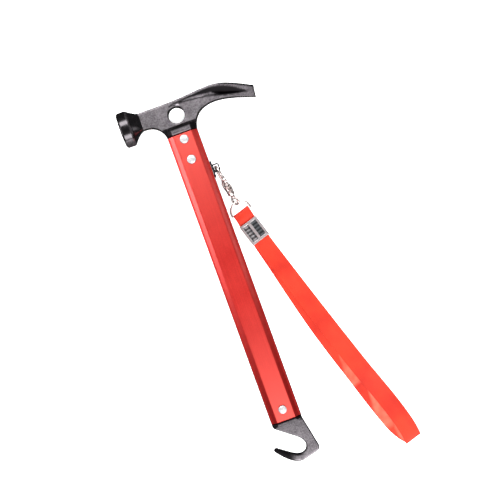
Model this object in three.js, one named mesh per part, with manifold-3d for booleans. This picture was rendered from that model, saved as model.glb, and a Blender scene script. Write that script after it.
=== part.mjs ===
// Camping hammer with a hollow aluminium handle, a forged head, a tail hook and a wrist lanyard.
// Millimetres, +Z up. The hammer lies flat: the handle runs along Y with the head at +Y, the striking
// face looks along -X and the claw along +X. Z = 0 is the surface that it lies on.
import * as THREE from "three";
import { mergeVertices } from "three/addons/utils/BufferGeometryUtils.js";
import Module from "manifold-3d";

const wasm = await Module();
wasm.setup();

// ---- driving dimensions ----
const FACE_RADIUS = 15; // striking face, which also sets the height of the middle plane
const MID_Z = FACE_RADIUS;
const GAP = 0.3; // between pieces that meet
const CURVE_STEPS = 10;

const HANDLE = {
  length: 250.4, halfWidth: 13, halfDepth: 8.5, flatHalf: 8.0,
  shoulderX: 12.3, shoulderZ: 4.7, sideZ: 3.6, wall: 2.0,
};
const HEAD = {
  faceX: -47, rimX: -38.2, faceY: 19, chamfer: 1.3,
  cheekHalf: 5.6, cheekStart: -34, cheekTop: 27.7, cheekLow: 13.2, collarTop: 6.4, tangLength: 28,
  neckRadius: 14.2, neckEnd: -26,
  holeX: 0.6, holeY: 15.7, holeRadius: 6.8, recessDepth: 1.6,
};
const HOOK = { plateHalf: 2.5, collarEnd: -253.6, bevelEnd: -255.3, tangLength: 21 };
const RIVET = { shank: 2.0, headRadius: 3.7, headHeight: 1.5, ys: [-4.5, -23, -242.4] };
const EYELET = {
  y: -36.3, plateLength: 14.3, plateHalfZ: 3.2, thickness: 1.2, tabReach: 5.3,
  tabTop: -32.2, tabBottom: -39.5, tabHalfZ: 0.7, holeTop: -33.3, holeBottom: -37.4,
  tangX: 3.2, tangHalfY: 1.2, tangOffset: 5.2,
};
const CLASP = {
  nose: [16.3, -34.2], heading: 10.2, slope: 18.5, roll: 8,
  hookRadius: 6.0, bar: 2.2, hookHalf: 1.0, cheekHalf: 2.6, length: 28.6,
  tipX: 7.6, cavityEnd: 21.4, pivotX: 20.2, pivotY: 4.4, pinRadius: 0.75,
};
const SPRING = { turns: 2, radius: 1.25, halfRise: 0.33, wire: 0.15 };
const SWIVEL = {
  stemRadius: 1.15, headRadius: 1.9, headLength: 0.8, headX: 20.3,
  ringX: 34.8, ringRadius: 3.2, wire: 0.95, roll: 38,
};
const D_RING = { arcRadius: 8.7, wire: 0.8, drop: 1.2, bar: [24.0, -77.3], heading: 10, tilt: 9.9 };
const STRAP = {
  width: 15, thickness: 2.1, layer: 0.9, foldRadius: 2.05, foldSlack: 0.75, length: 238.8,
  heading: 17.2, barZ: 2.3, floorGap: 0.1, bulge: 1.7, bulgeLength: 16, easeLength: 12,
};
const CRIMP = { start: 9.2, length: 19, wall: 0.5, halfWidth: 8.4 };

const RAD = Math.PI / 180;

// ---- finishes ----
const finish = (color, roughness, metalness) =>
  new THREE.MeshStandardMaterial({ color, roughness, metalness });
const FINISH = {
  head: () => finish(0x2b2a2e, 0.45, 0.8),
  handle: () => finish(0xd8372c, 0.35, 0.85),
  bright: () => finish(0xcfd2d4, 0.2, 1.0),
  black: () => finish(0x141415, 0.5, 0.6),
  webbing: () => finish(0xe83a2a, 0.7, 0.0),
};

// ---- solids ----
function solid(geometry) {
  const bare = geometry.clone();
  bare.deleteAttribute("normal");
  bare.deleteAttribute("uv");
  const merged = mergeVertices(bare, 1e-4);
  return new wasm.Manifold(
    new wasm.Mesh({
      numProp: 3,
      vertProperties: new Float32Array(merged.attributes.position.array),
      triVerts: new Uint32Array(merged.index.array),
    }),
  );
}

function geometryOf(body) {
  const { vertProperties, triVerts } = body.getMesh();
  const geometry = new THREE.BufferGeometry();
  geometry.setAttribute("position", new THREE.BufferAttribute(new Float32Array(vertProperties), 3));
  geometry.setIndex(new THREE.BufferAttribute(new Uint32Array(triVerts), 1));
  geometry.computeVertexNormals();
  return geometry;
}

const piece = (name, body, material) => {
  const mesh = new THREE.Mesh(body.isBufferGeometry ? body : geometryOf(body), material);
  mesh.name = name;
  return mesh;
};

// An outline in XY, stood up from one Z to another.
function slab(shape, fromZ, toZ) {
  const geometry = new THREE.ExtrudeGeometry(shape, {
    depth: toZ - fromZ, bevelEnabled: false, curveSegments: CURVE_STEPS,
  });
  return geometry.translate(0, 0, fromZ);
}

function polygon(points) {
  const shape = new THREE.Shape();
  points.forEach(([x, y], i) => (i ? shape.lineTo(x, y) : shape.moveTo(x, y)));
  return shape;
}

function block(size, centre) {
  return solid(new THREE.BoxGeometry(...size).translate(...centre));
}

// A round bar along one axis, between two places on that axis.
function bar(axis, radius, from, to, across, sides = 24) {
  const geometry = new THREE.CylinderGeometry(radius, radius, to - from, sides);
  if (axis === "x") geometry.rotateZ(-Math.PI / 2);
  if (axis === "z") geometry.rotateX(Math.PI / 2);
  const middle = (from + to) / 2;
  const at = { x: [middle, ...across], y: [across[0], middle, across[1]], z: [...across, middle] };
  return solid(geometry.translate(...at[axis]));
}

// A round wire that follows a curve.
function wire(curve, radius, steps, sides = 10) {
  const section = new THREE.Shape().absarc(0, 0, radius, 0, 2 * Math.PI);
  return solid(
    new THREE.ExtrudeGeometry(section, {
      extrudePath: curve, steps, bevelEnabled: false, curveSegments: sides,
    }),
  );
}

// ---- handle ----
// The extrusion's outline in X and Z, drawn in by an inset: flats front and back, sloped shoulders.
function handleSection(inset) {
  const { halfWidth, halfDepth, flatHalf, shoulderX, shoulderZ, sideZ } = HANDLE;
  const slant = inset * 0.4;
  const corner = [
    [halfWidth - inset, sideZ - slant],
    [shoulderX - inset, shoulderZ - slant],
    [flatHalf - slant, halfDepth - inset],
  ];
  const right = [...corner.map(([x, z]) => [x, -z]).reverse(), ...corner];
  const left = right.map(([x, z]) => [-x, -z]);
  return polygon([...right, ...left]);
}

// A length of the handle's section, between two places along Y.
function handleLength(inset, fromY, toY) {
  const geometry = slab(handleSection(inset), 0, toY - fromY);
  return solid(geometry.rotateX(-Math.PI / 2).translate(0, fromY, MID_Z));
}

function handleTube() {
  const top = -GAP;
  const bottom = top - HANDLE.length;
  let tube = handleLength(0, bottom, top);
  tube = tube.subtract(handleLength(HANDLE.wall, bottom - 1, top + 1));
  for (const y of RIVET.ys) {
    tube = tube.subtract(bar("z", RIVET.shank + GAP, 0, 2 * MID_Z, [0, y], 20));
  }
  for (const side of [-1, 1]) {
    const y = EYELET.y + side * EYELET.tangOffset;
    const size = [6, 2 * (EYELET.tangHalfY + GAP), 2 * (EYELET.tangHalfY + GAP)];
    tube = tube.subtract(block(size, [HANDLE.halfWidth, y, MID_Z]));
  }
  return piece("handle_tube", tube, FINISH.handle());
}

// ---- head ----
// The head as it is seen from the front: cheek, curved claw and the sweep down to the collar.
function headOutline() {
  const { cheekStart, cheekTop, cheekLow } = HEAD;
  const shape = new THREE.Shape();
  shape.moveTo(cheekStart, cheekTop);
  shape.lineTo(-3, cheekTop);
  shape.bezierCurveTo(10, cheekTop, 22, 29.8, 34.1, 29.8);
  shape.bezierCurveTo(46, 29.8, 57, 23.6, 69.2, 17.8);
  shape.lineTo(67.6, 7.4);
  shape.bezierCurveTo(56, 12.2, 45, 16.3, 34.1, 16.5);
  shape.bezierCurveTo(25, 16.4, 15, 13, HANDLE.halfWidth, 0);
  shape.lineTo(-HANDLE.halfWidth, 0);
  shape.bezierCurveTo(-13.8, 7, -19, cheekLow, -27.5, cheekLow);
  shape.lineTo(cheekStart, cheekLow);
  return shape;
}

// The head's thickness along X: a flat cheek and a claw that thins to its edge.
function headPlan() {
  const { cheekStart, cheekHalf } = HEAD;
  const shape = new THREE.Shape();
  shape.moveTo(cheekStart, cheekHalf);
  shape.lineTo(34, cheekHalf);
  shape.quadraticCurveTo(55, cheekHalf - 0.4, 70, 1.1);
  shape.lineTo(70, -1.1);
  shape.quadraticCurveTo(55, 0.4 - cheekHalf, 34, -cheekHalf);
  shape.lineTo(cheekStart, -cheekHalf);
  return shape;
}

// The leaf-shaped hollow that runs along each flank of the claw.
function leafOutline() {
  const shape = new THREE.Shape();
  shape.moveTo(9.3, 24.6);
  shape.bezierCurveTo(20, 26.6, 28, 27.7, 34.1, 27.5);
  shape.bezierCurveTo(45, 26.6, 53, 20.5, 62.2, 14.5);
  shape.bezierCurveTo(50, 17.2, 46, 17.0, 38, 20.0);
  shape.bezierCurveTo(28, 23.2, 18, 23.6, 9.3, 23.9);
  return shape;
}

// The round striking face and the neck that flares out to it, turned about one axis.
function strikingDisc() {
  const { faceX, rimX, faceY, chamfer, neckRadius, neckEnd } = HEAD;
  const depth = rimX - faceX;
  const neckLength = neckEnd - faceX;
  const flare = new THREE.CubicBezierCurve(
    new THREE.Vector2(neckRadius, depth + 0.4),
    new THREE.Vector2(neckRadius - 2, depth + 4),
    new THREE.Vector2(8.6, depth + 5.5),
    new THREE.Vector2(6.6, neckLength),
  );
  const rim = [
    [0, 0], [FACE_RADIUS - chamfer, 0], [FACE_RADIUS, chamfer], [FACE_RADIUS, depth - 0.6],
  ].map(([radius, along]) => new THREE.Vector2(radius, along));
  const profile = [...rim, ...flare.getPoints(CURVE_STEPS), new THREE.Vector2(0, neckLength)];
  const disc = new THREE.LatheGeometry(profile, 48).rotateZ(-Math.PI / 2);
  return solid(disc.translate(faceX, faceY, MID_Z));
}

function hammerHead() {
  const plan = slab(headPlan(), 0, 60).rotateX(Math.PI / 2).translate(0, 50, MID_Z);
  let head = solid(slab(headOutline(), 0, 2 * MID_Z)).intersect(solid(plan));
  head = head.add(strikingDisc());
  head = head.add(handleLength(0, 0, HEAD.collarTop));
  head = head.add(handleLength(HANDLE.wall + GAP, -HEAD.tangLength, 1));
  const { holeX, holeY, holeRadius, cheekHalf, recessDepth } = HEAD;
  head = head.subtract(bar("z", holeRadius, 0, 2 * MID_Z, [holeX, holeY], 40));
  for (const [low, high] of [[-9, -cheekHalf + recessDepth], [cheekHalf - recessDepth, 9]]) {
    head = head.subtract(solid(slab(leafOutline(), MID_Z + low, MID_Z + high)));
  }
  for (const y of RIVET.ys.slice(0, 2)) {
    head = head.subtract(bar("z", RIVET.shank + GAP, 0, 2 * MID_Z, [0, y], 20));
  }
  return piece("hammer_head", head, FINISH.head());
}

// ---- tail hook ----
function tailHookOutline() {
  const shape = new THREE.Shape();
  shape.moveTo(-12.9, -253);
  shape.lineTo(-12.2, -255.3);
  shape.lineTo(4.2, -267.6);
  shape.bezierCurveTo(9.4, -271.5, 9.6, -278.4, 4.7, -280.6);
  shape.bezierCurveTo(0, -282.6, -4, -279, -8.5, -275.9);
  shape.lineTo(-15.6, -270.6);
  shape.bezierCurveTo(-17.2, -269.8, -19.4, -271.9, -18, -273.9);
  shape.bezierCurveTo(-12, -281, -6.5, -288, 1.5, -287.6);
  shape.lineTo(15.6, -284.1);
  shape.quadraticCurveTo(18.5, -283.2, 18.3, -279.8);
  shape.lineTo(12.5, -253);
  return shape;
}

// The solid shoulder between the handle's full section and the thin plate.
function tailShoulder(topY) {
  const { plateHalf, collarEnd, bevelEnd } = HOOK;
  const { halfWidth, halfDepth } = HANDLE;
  const wedge = polygon([
    [topY, halfDepth], [collarEnd, halfDepth], [bevelEnd, plateHalf],
    [bevelEnd, -plateHalf], [collarEnd, -halfDepth], [topY, -halfDepth],
  ]);
  // drawn along Y and Z, then stood up across X
  const across = slab(wedge, -halfWidth, halfWidth);
  across.applyMatrix4(new THREE.Matrix4().set(0, 0, 1, 0, 1, 0, 0, 0, 0, 1, 0, MID_Z, 0, 0, 0, 1));
  return handleLength(0, bevelEnd, topY).intersect(solid(across));
}

function tailHook() {
  const { plateHalf, tangLength } = HOOK;
  const top = -HANDLE.length - 2 * GAP;
  let hook = solid(slab(tailHookOutline(), MID_Z - plateHalf, MID_Z + plateHalf));
  hook = hook.add(tailShoulder(top));
  hook = hook.add(handleLength(HANDLE.wall + GAP, top - 1, top + tangLength));
  hook = hook.subtract(bar("z", RIVET.shank + GAP, 0, 2 * MID_Z, [0, RIVET.ys[2]], 20));
  return piece("tail_hook", hook, FINISH.head());
}

// ---- rivets ----
function rivet(name, y) {
  const { shank, headRadius, headHeight } = RIVET;
  const seat = HANDLE.halfDepth + 0.1;
  const dome = [1, 0.94, 0.75, 0.45, 0].map((share, i) => {
    return new THREE.Vector2(headRadius * share, seat + (headHeight * i) / 4);
  });
  const half = [new THREE.Vector2(shank, 0), new THREE.Vector2(shank, seat), ...dome];
  const mirrored = half.slice(1).reverse().map((p) => new THREE.Vector2(p.x, -p.y));
  const body = new THREE.LatheGeometry([...mirrored, ...half], 20).rotateX(Math.PI / 2);
  return piece(name, solid(body.translate(0, y, MID_Z)), FINISH.bright());
}

// ---- lanyard eyelet ----
// A stamped plate on the handle's side, held by two tangs, with a flat eye that the clasp hooks.
function lanyardEyelet() {
  const e = EYELET;
  const inner = HANDLE.halfWidth + 0.1;
  const outer = inner + e.thickness;
  let body = block([e.thickness, e.plateLength, 2 * e.plateHalfZ], [(inner + outer) / 2, e.y, MID_Z]);
  const tab = new THREE.Shape();
  tab.moveTo(outer - 0.5, e.tabTop);
  tab.lineTo(outer + e.tabReach - 2, e.tabTop);
  tab.quadraticCurveTo(outer + e.tabReach, e.tabTop, outer + e.tabReach, e.tabTop - 2);
  tab.lineTo(outer + e.tabReach, e.tabBottom + 2);
  tab.quadraticCurveTo(outer + e.tabReach, e.tabBottom, outer + e.tabReach - 2, e.tabBottom);
  tab.lineTo(outer - 0.5, e.tabBottom);
  body = body.add(solid(slab(tab, MID_Z - e.tabHalfZ, MID_Z + e.tabHalfZ)));
  const [holeX, holeLength] = [e.tabReach - 1.6, e.holeTop - e.holeBottom];
  const holeAt = [outer + 0.5 + holeX / 2, (e.holeTop + e.holeBottom) / 2, MID_Z];
  body = body.subtract(block([holeX, holeLength, 4], holeAt));
  for (const side of [-1, 1]) {
    const size = [e.tangX + 0.5, 2 * e.tangHalfY, 2 * e.tangHalfY];
    body = body.add(block(size, [inner - e.tangX / 2, e.y + side * e.tangOffset, MID_Z]));
  }
  return piece("lanyard_eyelet", body, FINISH.black());
}

// ---- swivel clasp ----
// In its own frame the clasp runs along +X from its nose, opens along +Y and is thin along Z.
function claspBodyOutline() {
  const { hookRadius: r, bar: t, tipX, cavityEnd, length } = CLASP;
  const shape = new THREE.Shape();
  shape.moveTo(tipX, r);
  shape.lineTo(r, r);
  shape.absarc(r, 0, r, Math.PI / 2, (3 * Math.PI) / 2);
  shape.lineTo(cavityEnd - 3, -r);
  shape.quadraticCurveTo(cavityEnd + 2, -r + 0.4, cavityEnd + 3.6, -3);
  shape.lineTo(length, -3);
  shape.lineTo(length, 3);
  shape.lineTo(cavityEnd + 3.6, 3);
  shape.quadraticCurveTo(cavityEnd + 3, r, cavityEnd, r + 0.4);
  shape.lineTo(cavityEnd - 2.4, r + 0.4);
  shape.lineTo(cavityEnd - 3.4, 2.6);
  shape.lineTo(cavityEnd, 2.2);
  shape.lineTo(cavityEnd, -2.6);
  shape.quadraticCurveTo(cavityEnd - 1, -r + t, cavityEnd - 3, -r + t);
  shape.lineTo(r, -r + t);
  shape.absarc(r, 0, r - t, (3 * Math.PI) / 2, Math.PI / 2, true);
  shape.lineTo(tipX, r - t);
  return shape;
}

function claspBody() {
  const { hookHalf, cheekHalf, length, cavityEnd, pivotX, pivotY, pinRadius } = CLASP;
  const thick = cavityEnd - 3.4;
  const outline = claspBodyOutline();
  let body = solid(slab(outline, -hookHalf, hookHalf));
  const rear = solid(slab(outline, -cheekHalf, cheekHalf));
  body = body.add(rear.intersect(block([20, 20, 20], [thick + 10, 0, 0])));
  // the slot between the two cheeks that the gate turns in, the pin's hole and the stem's bore
  body = body.subtract(block([5.8, 8, 3.3], [pivotX - 0.4, pivotY + 1.9, 0]));
  body = body.subtract(bar("z", pinRadius + GAP, -5, 5, [pivotX, pivotY], 16));
  body = body.subtract(bar("x", SWIVEL.stemRadius + GAP, cavityEnd - 1, length + 1, [0, 0], 16));
  return piece("clasp_body", body, FINISH.bright());
}

// The thumb-operated gate: a fork around the pin, a bar to the hook's tip and a thumb tab.
function claspGate() {
  const { hookRadius: r, bar: t, tipX, pivotX, pivotY, pinRadius } = CLASP;
  const shape = new THREE.Shape();
  shape.moveTo(tipX + GAP, r - 0.1);
  shape.lineTo(tipX + GAP, r - t + 0.1);
  shape.lineTo(pivotX - 2.6, r - t - 0.3);
  shape.absarc(pivotX, pivotY, 1.8, Math.PI * 1.15, Math.PI * 2.2);
  shape.lineTo(pivotX - 0.5, r + 0.6);
  shape.lineTo(pivotX - 3.6, r + 0.2);
  shape.quadraticCurveTo(pivotX - 5, r + 3, pivotX - 7.4, r + 2.6);
  shape.quadraticCurveTo(pivotX - 7, r + 0.6, pivotX - 9, r - 0.1);
  let gate = solid(slab(shape, -1.35, 1.35));
  gate = gate.subtract(bar("z", pinRadius + GAP, -5, 5, [pivotX, pivotY], 16));
  gate = gate.subtract(block([7, 12, 1.5], [pivotX + 0.9, pivotY, 0]));
  return piece("clasp_gate", gate, FINISH.bright());
}

function gatePivotPin() {
  const { pivotX, pivotY, pinRadius, cheekHalf } = CLASP;
  const pin = bar("z", pinRadius, -cheekHalf, cheekHalf, [pivotX, pivotY], 16);
  return piece("gate_pivot_pin", pin, FINISH.bright());
}

// The torsion spring that closes the gate, wound around the pin.
class Coil extends THREE.Curve {
  getPoint(t, target = new THREE.Vector3()) {
    const angle = 2 * Math.PI * SPRING.turns * t;
    return target.set(
      CLASP.pivotX + SPRING.radius * Math.cos(angle),
      CLASP.pivotY + SPRING.radius * Math.sin(angle),
      SPRING.halfRise * (2 * t - 1),
    );
  }
}

function gateSpring() {
  return piece("gate_spring", wire(new Coil(), SPRING.wire, 40, 5), FINISH.bright());
}

function swivelEye() {
  const { stemRadius, headRadius, headLength, headX, ringX, ringRadius, wire: r } = SWIVEL;
  const ringStart = ringX - ringRadius;
  const ring = new THREE.TorusGeometry(ringRadius, r, 10, 32).translate(ringX, 0, 0);
  const stem = bar("x", stemRadius, headX, ringStart + 0.4, [0, 0], 16);
  const head = bar("x", headRadius, headX, headX + headLength, [0, 0], 16);
  return piece("swivel_eye", solid(ring).add(stem).add(head), FINISH.bright());
}

// ---- D-ring, strap and crimp ----
// In the strap's frame +X runs along the strap from the D-ring's bar and +Z is up.
function dRing() {
  const { arcRadius, wire: r, drop } = D_RING;
  const arc = new THREE.EllipseCurve(-drop, 0, arcRadius, arcRadius, Math.PI / 2, (3 * Math.PI) / 2);
  class Bow extends THREE.Curve {
    getPoint(t, target = new THREE.Vector3()) {
      const p = arc.getPoint(t);
      return target.set(p.x, p.y, 0);
    }
  }
  const sides = [-1, 1].map((side) => {
    return bar("x", r, -drop - 0.1, 0, [side * arcRadius, 0], 10);
  });
  const straight = bar("y", r, -arcRadius - r, arcRadius + r, [0, 0], 10);
  const ring = wire(new Bow(), r, 32, 5).add(straight).add(sides[0]).add(sides[1]);
  return piece("d_ring", ring, FINISH.bright());
}

// The strap from the side: folded round the bar, flat through the crimp, then down on the floor.
function strapSide() {
  const { thickness, layer, foldRadius, foldSlack, length, bulge, bulgeLength, barZ, floorGap } = STRAP;
  const low = floorGap - barZ;
  const crimpLow = low + CRIMP.wall + GAP;
  const crimpEnd = CRIMP.start + CRIMP.length + 2;
  const shape = new THREE.Shape();
  shape.moveTo(CRIMP.start - 2, crimpLow + thickness);
  shape.quadraticCurveTo(foldRadius + 1, foldRadius, foldSlack, foldRadius);
  shape.lineTo(-foldSlack, foldRadius);
  shape.absarc(-foldSlack, 0, foldRadius, Math.PI / 2, (3 * Math.PI) / 2);
  shape.lineTo(foldSlack, -foldRadius);
  shape.quadraticCurveTo(foldRadius + 1, -foldRadius, CRIMP.start - 2, crimpLow);
  shape.lineTo(crimpEnd, crimpLow);
  shape.lineTo(crimpEnd + STRAP.easeLength, low);
  shape.lineTo(length - bulge, low);
  shape.absarc(length - bulge, low + bulge, bulge, -Math.PI / 2, Math.PI / 2);
  shape.lineTo(length - bulgeLength, low + thickness);
  shape.lineTo(crimpEnd + STRAP.easeLength, low + thickness);
  shape.lineTo(crimpEnd, crimpLow + thickness);
  const inner = foldRadius - layer;
  const hole = new THREE.Path().absarc(foldSlack, 0, inner, -Math.PI / 2, Math.PI / 2);
  hole.absarc(-foldSlack, 0, inner, Math.PI / 2, (3 * Math.PI) / 2);
  shape.holes.push(hole);
  return shape;
}

// An outline drawn along the strap and upwards, stood out across its width.
function acrossStrap(shape, halfWidth) {
  return slab(shape, -halfWidth, halfWidth).rotateX(Math.PI / 2);
}

function wristStrap() {
  return piece("wrist_strap", solid(acrossStrap(strapSide(), STRAP.width / 2)), FINISH.webbing());
}

function strapCrimp() {
  const { start, length, wall, halfWidth } = CRIMP;
  const { width, thickness, barZ, floorGap } = STRAP;
  const height = thickness + 2 * (wall + GAP);
  const centre = [start + length / 2, 0, floorGap - GAP / 4 - barZ + height / 2];
  const shell = block([length, 2 * halfWidth, height], centre);
  const hollow = block([length + 2, width + 2 * GAP, height - 2 * wall], centre);
  return piece("strap_crimp", shell.subtract(hollow), FINISH.bright());
}

// ---- assembly ----
function claspAssembly() {
  const { nose, heading, slope, roll, bar: t } = CLASP;
  // the middle of the hook's bar crosses the eye, and the clasp runs from there down to the D-ring
  const frame = new THREE.Group();
  frame.rotation.set(0, 0, -(90 - heading) * RAD);
  frame.position.set(nose[0], nose[1], MID_Z + (t / 2) * Math.sin(slope * RAD));
  const down = new THREE.Group();
  down.rotation.y = slope * RAD;
  const turned = new THREE.Group();
  turned.rotation.x = (90 - roll) * RAD;
  turned.add(claspBody(), claspGate(), gatePivotPin(), gateSpring());
  const swivel = new THREE.Group();
  swivel.rotation.x = (90 - SWIVEL.roll) * RAD;
  swivel.add(swivelEye());
  down.add(turned, swivel);
  frame.add(down);
  return frame;
}

// A frame on the D-ring's bar, with +X along a heading away from the head.
function barFrame(heading, tilt, ...pieces) {
  const frame = new THREE.Group();
  frame.position.set(...D_RING.bar, STRAP.barZ);
  frame.rotation.z = -(90 - heading) * RAD;
  const tilted = new THREE.Group();
  tilted.rotation.y = tilt * RAD;
  tilted.add(...pieces);
  frame.add(tilted);
  return frame;
}

const hammer = new THREE.Group();
hammer.add(
  hammerHead(), handleTube(), tailHook(),
  rivet("head_rivet_upper", RIVET.ys[0]),
  rivet("head_rivet_lower", RIVET.ys[1]),
  rivet("tail_rivet", RIVET.ys[2]),
  lanyardEyelet(), claspAssembly(),
  barFrame(D_RING.heading, D_RING.tilt, dRing()),
  barFrame(STRAP.heading, 0, wristStrap(), strapCrimp()),
);

// The origin is the middle of the footprint, on the surface that the hammer lies on.
const footprint = new THREE.Box3().setFromObject(hammer, true);
const centre = footprint.getCenter(new THREE.Vector3());
hammer.position.set(-centre.x, -centre.y, -footprint.min.z);

export default hammer;
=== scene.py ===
"""Looks of a camping hammer: a forged black head, a hollow red handle, a tail hook and a wrist lanyard.

Shapes are drawn in millimetres in the hammer's own frame and set down in the frame of the CAD part:
the handle runs along Y, its upper end is Y = 0, the striking face looks along -X and the floor is Z = 0.
"""

import logging
import math
from collections.abc import Callable, Sequence
from dataclasses import dataclass
from enum import Enum

import bmesh
import bpy
import numpy as np
from mathutils import Matrix, Vector
from mathutils.geometry import delaunay_2d_cdt


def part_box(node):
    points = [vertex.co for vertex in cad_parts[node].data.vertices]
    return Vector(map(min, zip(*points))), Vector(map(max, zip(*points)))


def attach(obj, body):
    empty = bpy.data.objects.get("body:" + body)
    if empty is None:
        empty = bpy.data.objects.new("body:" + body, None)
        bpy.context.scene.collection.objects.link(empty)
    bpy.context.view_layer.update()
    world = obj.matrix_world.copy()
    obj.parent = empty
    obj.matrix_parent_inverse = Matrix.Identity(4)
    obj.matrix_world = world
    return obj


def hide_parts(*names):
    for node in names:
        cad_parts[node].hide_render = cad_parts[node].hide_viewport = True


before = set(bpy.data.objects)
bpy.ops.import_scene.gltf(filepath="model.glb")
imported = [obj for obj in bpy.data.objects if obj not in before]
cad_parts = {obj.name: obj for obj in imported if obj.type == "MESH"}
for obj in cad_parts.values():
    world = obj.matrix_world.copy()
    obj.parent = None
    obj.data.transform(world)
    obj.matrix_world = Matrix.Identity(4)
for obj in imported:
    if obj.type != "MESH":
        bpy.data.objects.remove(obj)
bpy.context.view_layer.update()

LOG = logging.getLogger("hammer")
MM = 0.001  # one millimetre, in metres
GAP = 0.3  # what is left between fitted parts
MID_Z = 15.0  # height of the hammer's middle
NEAR = 0.02  # points closer than this are one
SHARP_ANGLE = math.radians(32)
DRILLED_ANGLE = math.radians(28)
UPRIGHT = Matrix.Rotation(-math.pi / 2, 4, "Y")

Array = np.ndarray
Point = tuple[float, float]
Triple = tuple[float, float, float]
Faces = list[tuple[int, ...]]
Socket = bpy.types.NodeSocket


class Body(Enum):
    """The moving bodies that pieces ride on."""

    HAMMER = "hammer"
    CLASP = "clasp"
    GATE = "gate"
    SWIVEL = "swivel"
    RING = "ring"
    STRAP = "strap"


class Cut(Enum):
    """How one solid is worked with another."""

    UNION = "UNION"
    DIFFERENCE = "DIFFERENCE"


def hammer_origin() -> Vector:
    """Finds the hammer frame's origin in the CAD frame."""
    low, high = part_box("handle_tube")
    return Vector(((low.x + high.x) / 2, high.y + GAP * MM, 0.0))


ORIGIN = hammer_origin()


# ---------------------------------------------------------------- outlines
class Outline:
    """A drawn outline in XY, as points at an even spacing."""

    def __init__(self, x: float, y: float, step: float = 0.8) -> None:
        """Starts at a point."""
        self.points: list[Point] = [(x, y)]
        self.step = step

    def to(self, x: float, y: float) -> "Outline":
        """Draws a straight line.

        Args:
            x: its end.
            y: its end.

        Returns:
            This outline.
        """
        x0, y0 = self.points[-1]
        count = max(1, round(math.hypot(x - x0, y - y0) / self.step))
        for k in range(1, count + 1):
            self.points.append((x0 + (x - x0) * k / count, y0 + (y - y0) * k / count))
        return self

    def bend(self, a: Point, b: Point, end: Point) -> "Outline":
        """Draws a cubic curve.

        Args:
            a: first handle.
            b: second handle.
            end: where it ends.

        Returns:
            This outline.
        """
        p = [np.array(q, float) for q in (self.points[-1], a, b, end)]
        rough = sum(np.linalg.norm(p[i + 1] - p[i]) for i in range(3))
        count = max(3, round(rough / self.step))
        for k in range(1, count + 1):
            t = k / count
            early = (1 - t) ** 3 * p[0] + 3 * t * (1 - t) ** 2 * p[1]
            q = early + 3 * t * t * (1 - t) * p[2] + t**3 * p[3]
            self.points.append((float(q[0]), float(q[1])))
        return self

    def arc(self, x: float, y: float, radius: float, start: float, end: float) -> "Outline":
        """Draws a circular arc, from its start angle to its end angle in degrees.

        Args:
            x: centre.
            y: centre.
            radius: of the arc.
            start: angle in degrees.
            end: angle in degrees.

        Returns:
            This outline.
        """
        a, b = math.radians(start), math.radians(end)
        count = max(4, round(abs(b - a) * radius / self.step), round(abs(end - start) / 12))
        for k in range(count + 1):
            t = a + (b - a) * k / count
            self.points.append((x + radius * math.cos(t), y + radius * math.sin(t)))
        return self

    def loop(self) -> Array:
        """Closes the outline.

        Returns:
            Its points, counter-clockwise, without repeats.
        """
        kept = [self.points[0]]
        for p in self.points[1:]:
            if math.dist(p, kept[-1]) > NEAR:
                kept.append(p)
        if math.dist(kept[0], kept[-1]) < NEAR:
            kept.pop()
        points = np.array(kept)
        x, y = points.T
        area = float(np.sum(x * np.roll(y, -1) - y * np.roll(x, -1)))
        return points if area > 0 else points[::-1].copy()


def circle(x: float, y: float, radius: float, count: int = 72) -> Array:
    """Draws a full circle, counter-clockwise."""
    t = np.linspace(0, 2 * math.pi, count, endpoint=False)
    return np.column_stack([x + radius * np.cos(t), y + radius * np.sin(t)])


def inside(loop: Array, points: Array) -> Array:
    """Tells which points lie inside a loop.

    Args:
        loop: the closed outline.
        points: the points to test.

    Returns:
        One truth value for each point.
    """
    result = np.zeros(len(points), bool)
    x, y = points.T
    for (x0, y0), (x1, y1) in zip(loop, np.roll(loop, -1, axis=0)):
        crosses = (y0 > y) != (y1 > y)
        height = y1 - y0 if abs(y1 - y0) > 1e-12 else 1e-12
        result ^= crosses & (x < (x1 - x0) * (y - y0) / height + x0)
    return result


def distance_to(line: Array, points: Array, closed: bool = True) -> Array:
    """Measures how far points are from a line.

    Args:
        line: its corner points.
        points: where to measure.
        closed: whether the line returns to its start.

    Returns:
        The shortest distances.
    """
    ends = np.roll(line, -1, axis=0) if closed else line[1:]
    starts = line if closed else line[:-1]
    best = np.full(len(points), 1e9)
    for a, b in zip(starts, ends):
        d = b - a
        t = np.clip(((points - a) @ d) / max(float(d @ d), 1e-12), 0, 1)
        best = np.minimum(best, np.hypot(*(points - a - t[:, None] * d).T))
    return best


# ---------------------------------------------------------------- solids
@dataclass
class Solid:
    """A closed mesh in millimetres.

    Attributes:
        points: one row for each point.
        faces: the corners of each face.
        tape: for webbing, each point's place along and across it, in millimetres.
    """

    points: Array
    faces: Faces
    tape: Array | None = None

    def moved(self, matrix: Matrix) -> "Solid":
        """Gives the solid in another frame."""
        m = np.array(matrix)
        return Solid(self.points @ m[:3, :3].T + m[:3, 3], self.faces, self.tape)


def loft(rings: Sequence[Array], around: bool = False) -> Solid:
    """Skins closed rings of points, and caps both ends.

    Args:
        rings: each one the same number of points.
        around: whether the last ring meets the first, in place of the caps.

    Returns:
        The closed solid.
    """
    count, total = len(rings[0]), len(rings)
    faces: Faces = []
    for i in range(total if around else total - 1):
        a, b = i * count, ((i + 1) % total) * count
        for j in range(count):
            k = (j + 1) % count
            faces.append((a + j, a + k, b + k, b + j))
    if not around:
        faces.append(tuple(range(count - 1, -1, -1)))
        faces.append(tuple(range((total - 1) * count, total * count)))
    return Solid(np.vstack(rings), faces)


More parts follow.
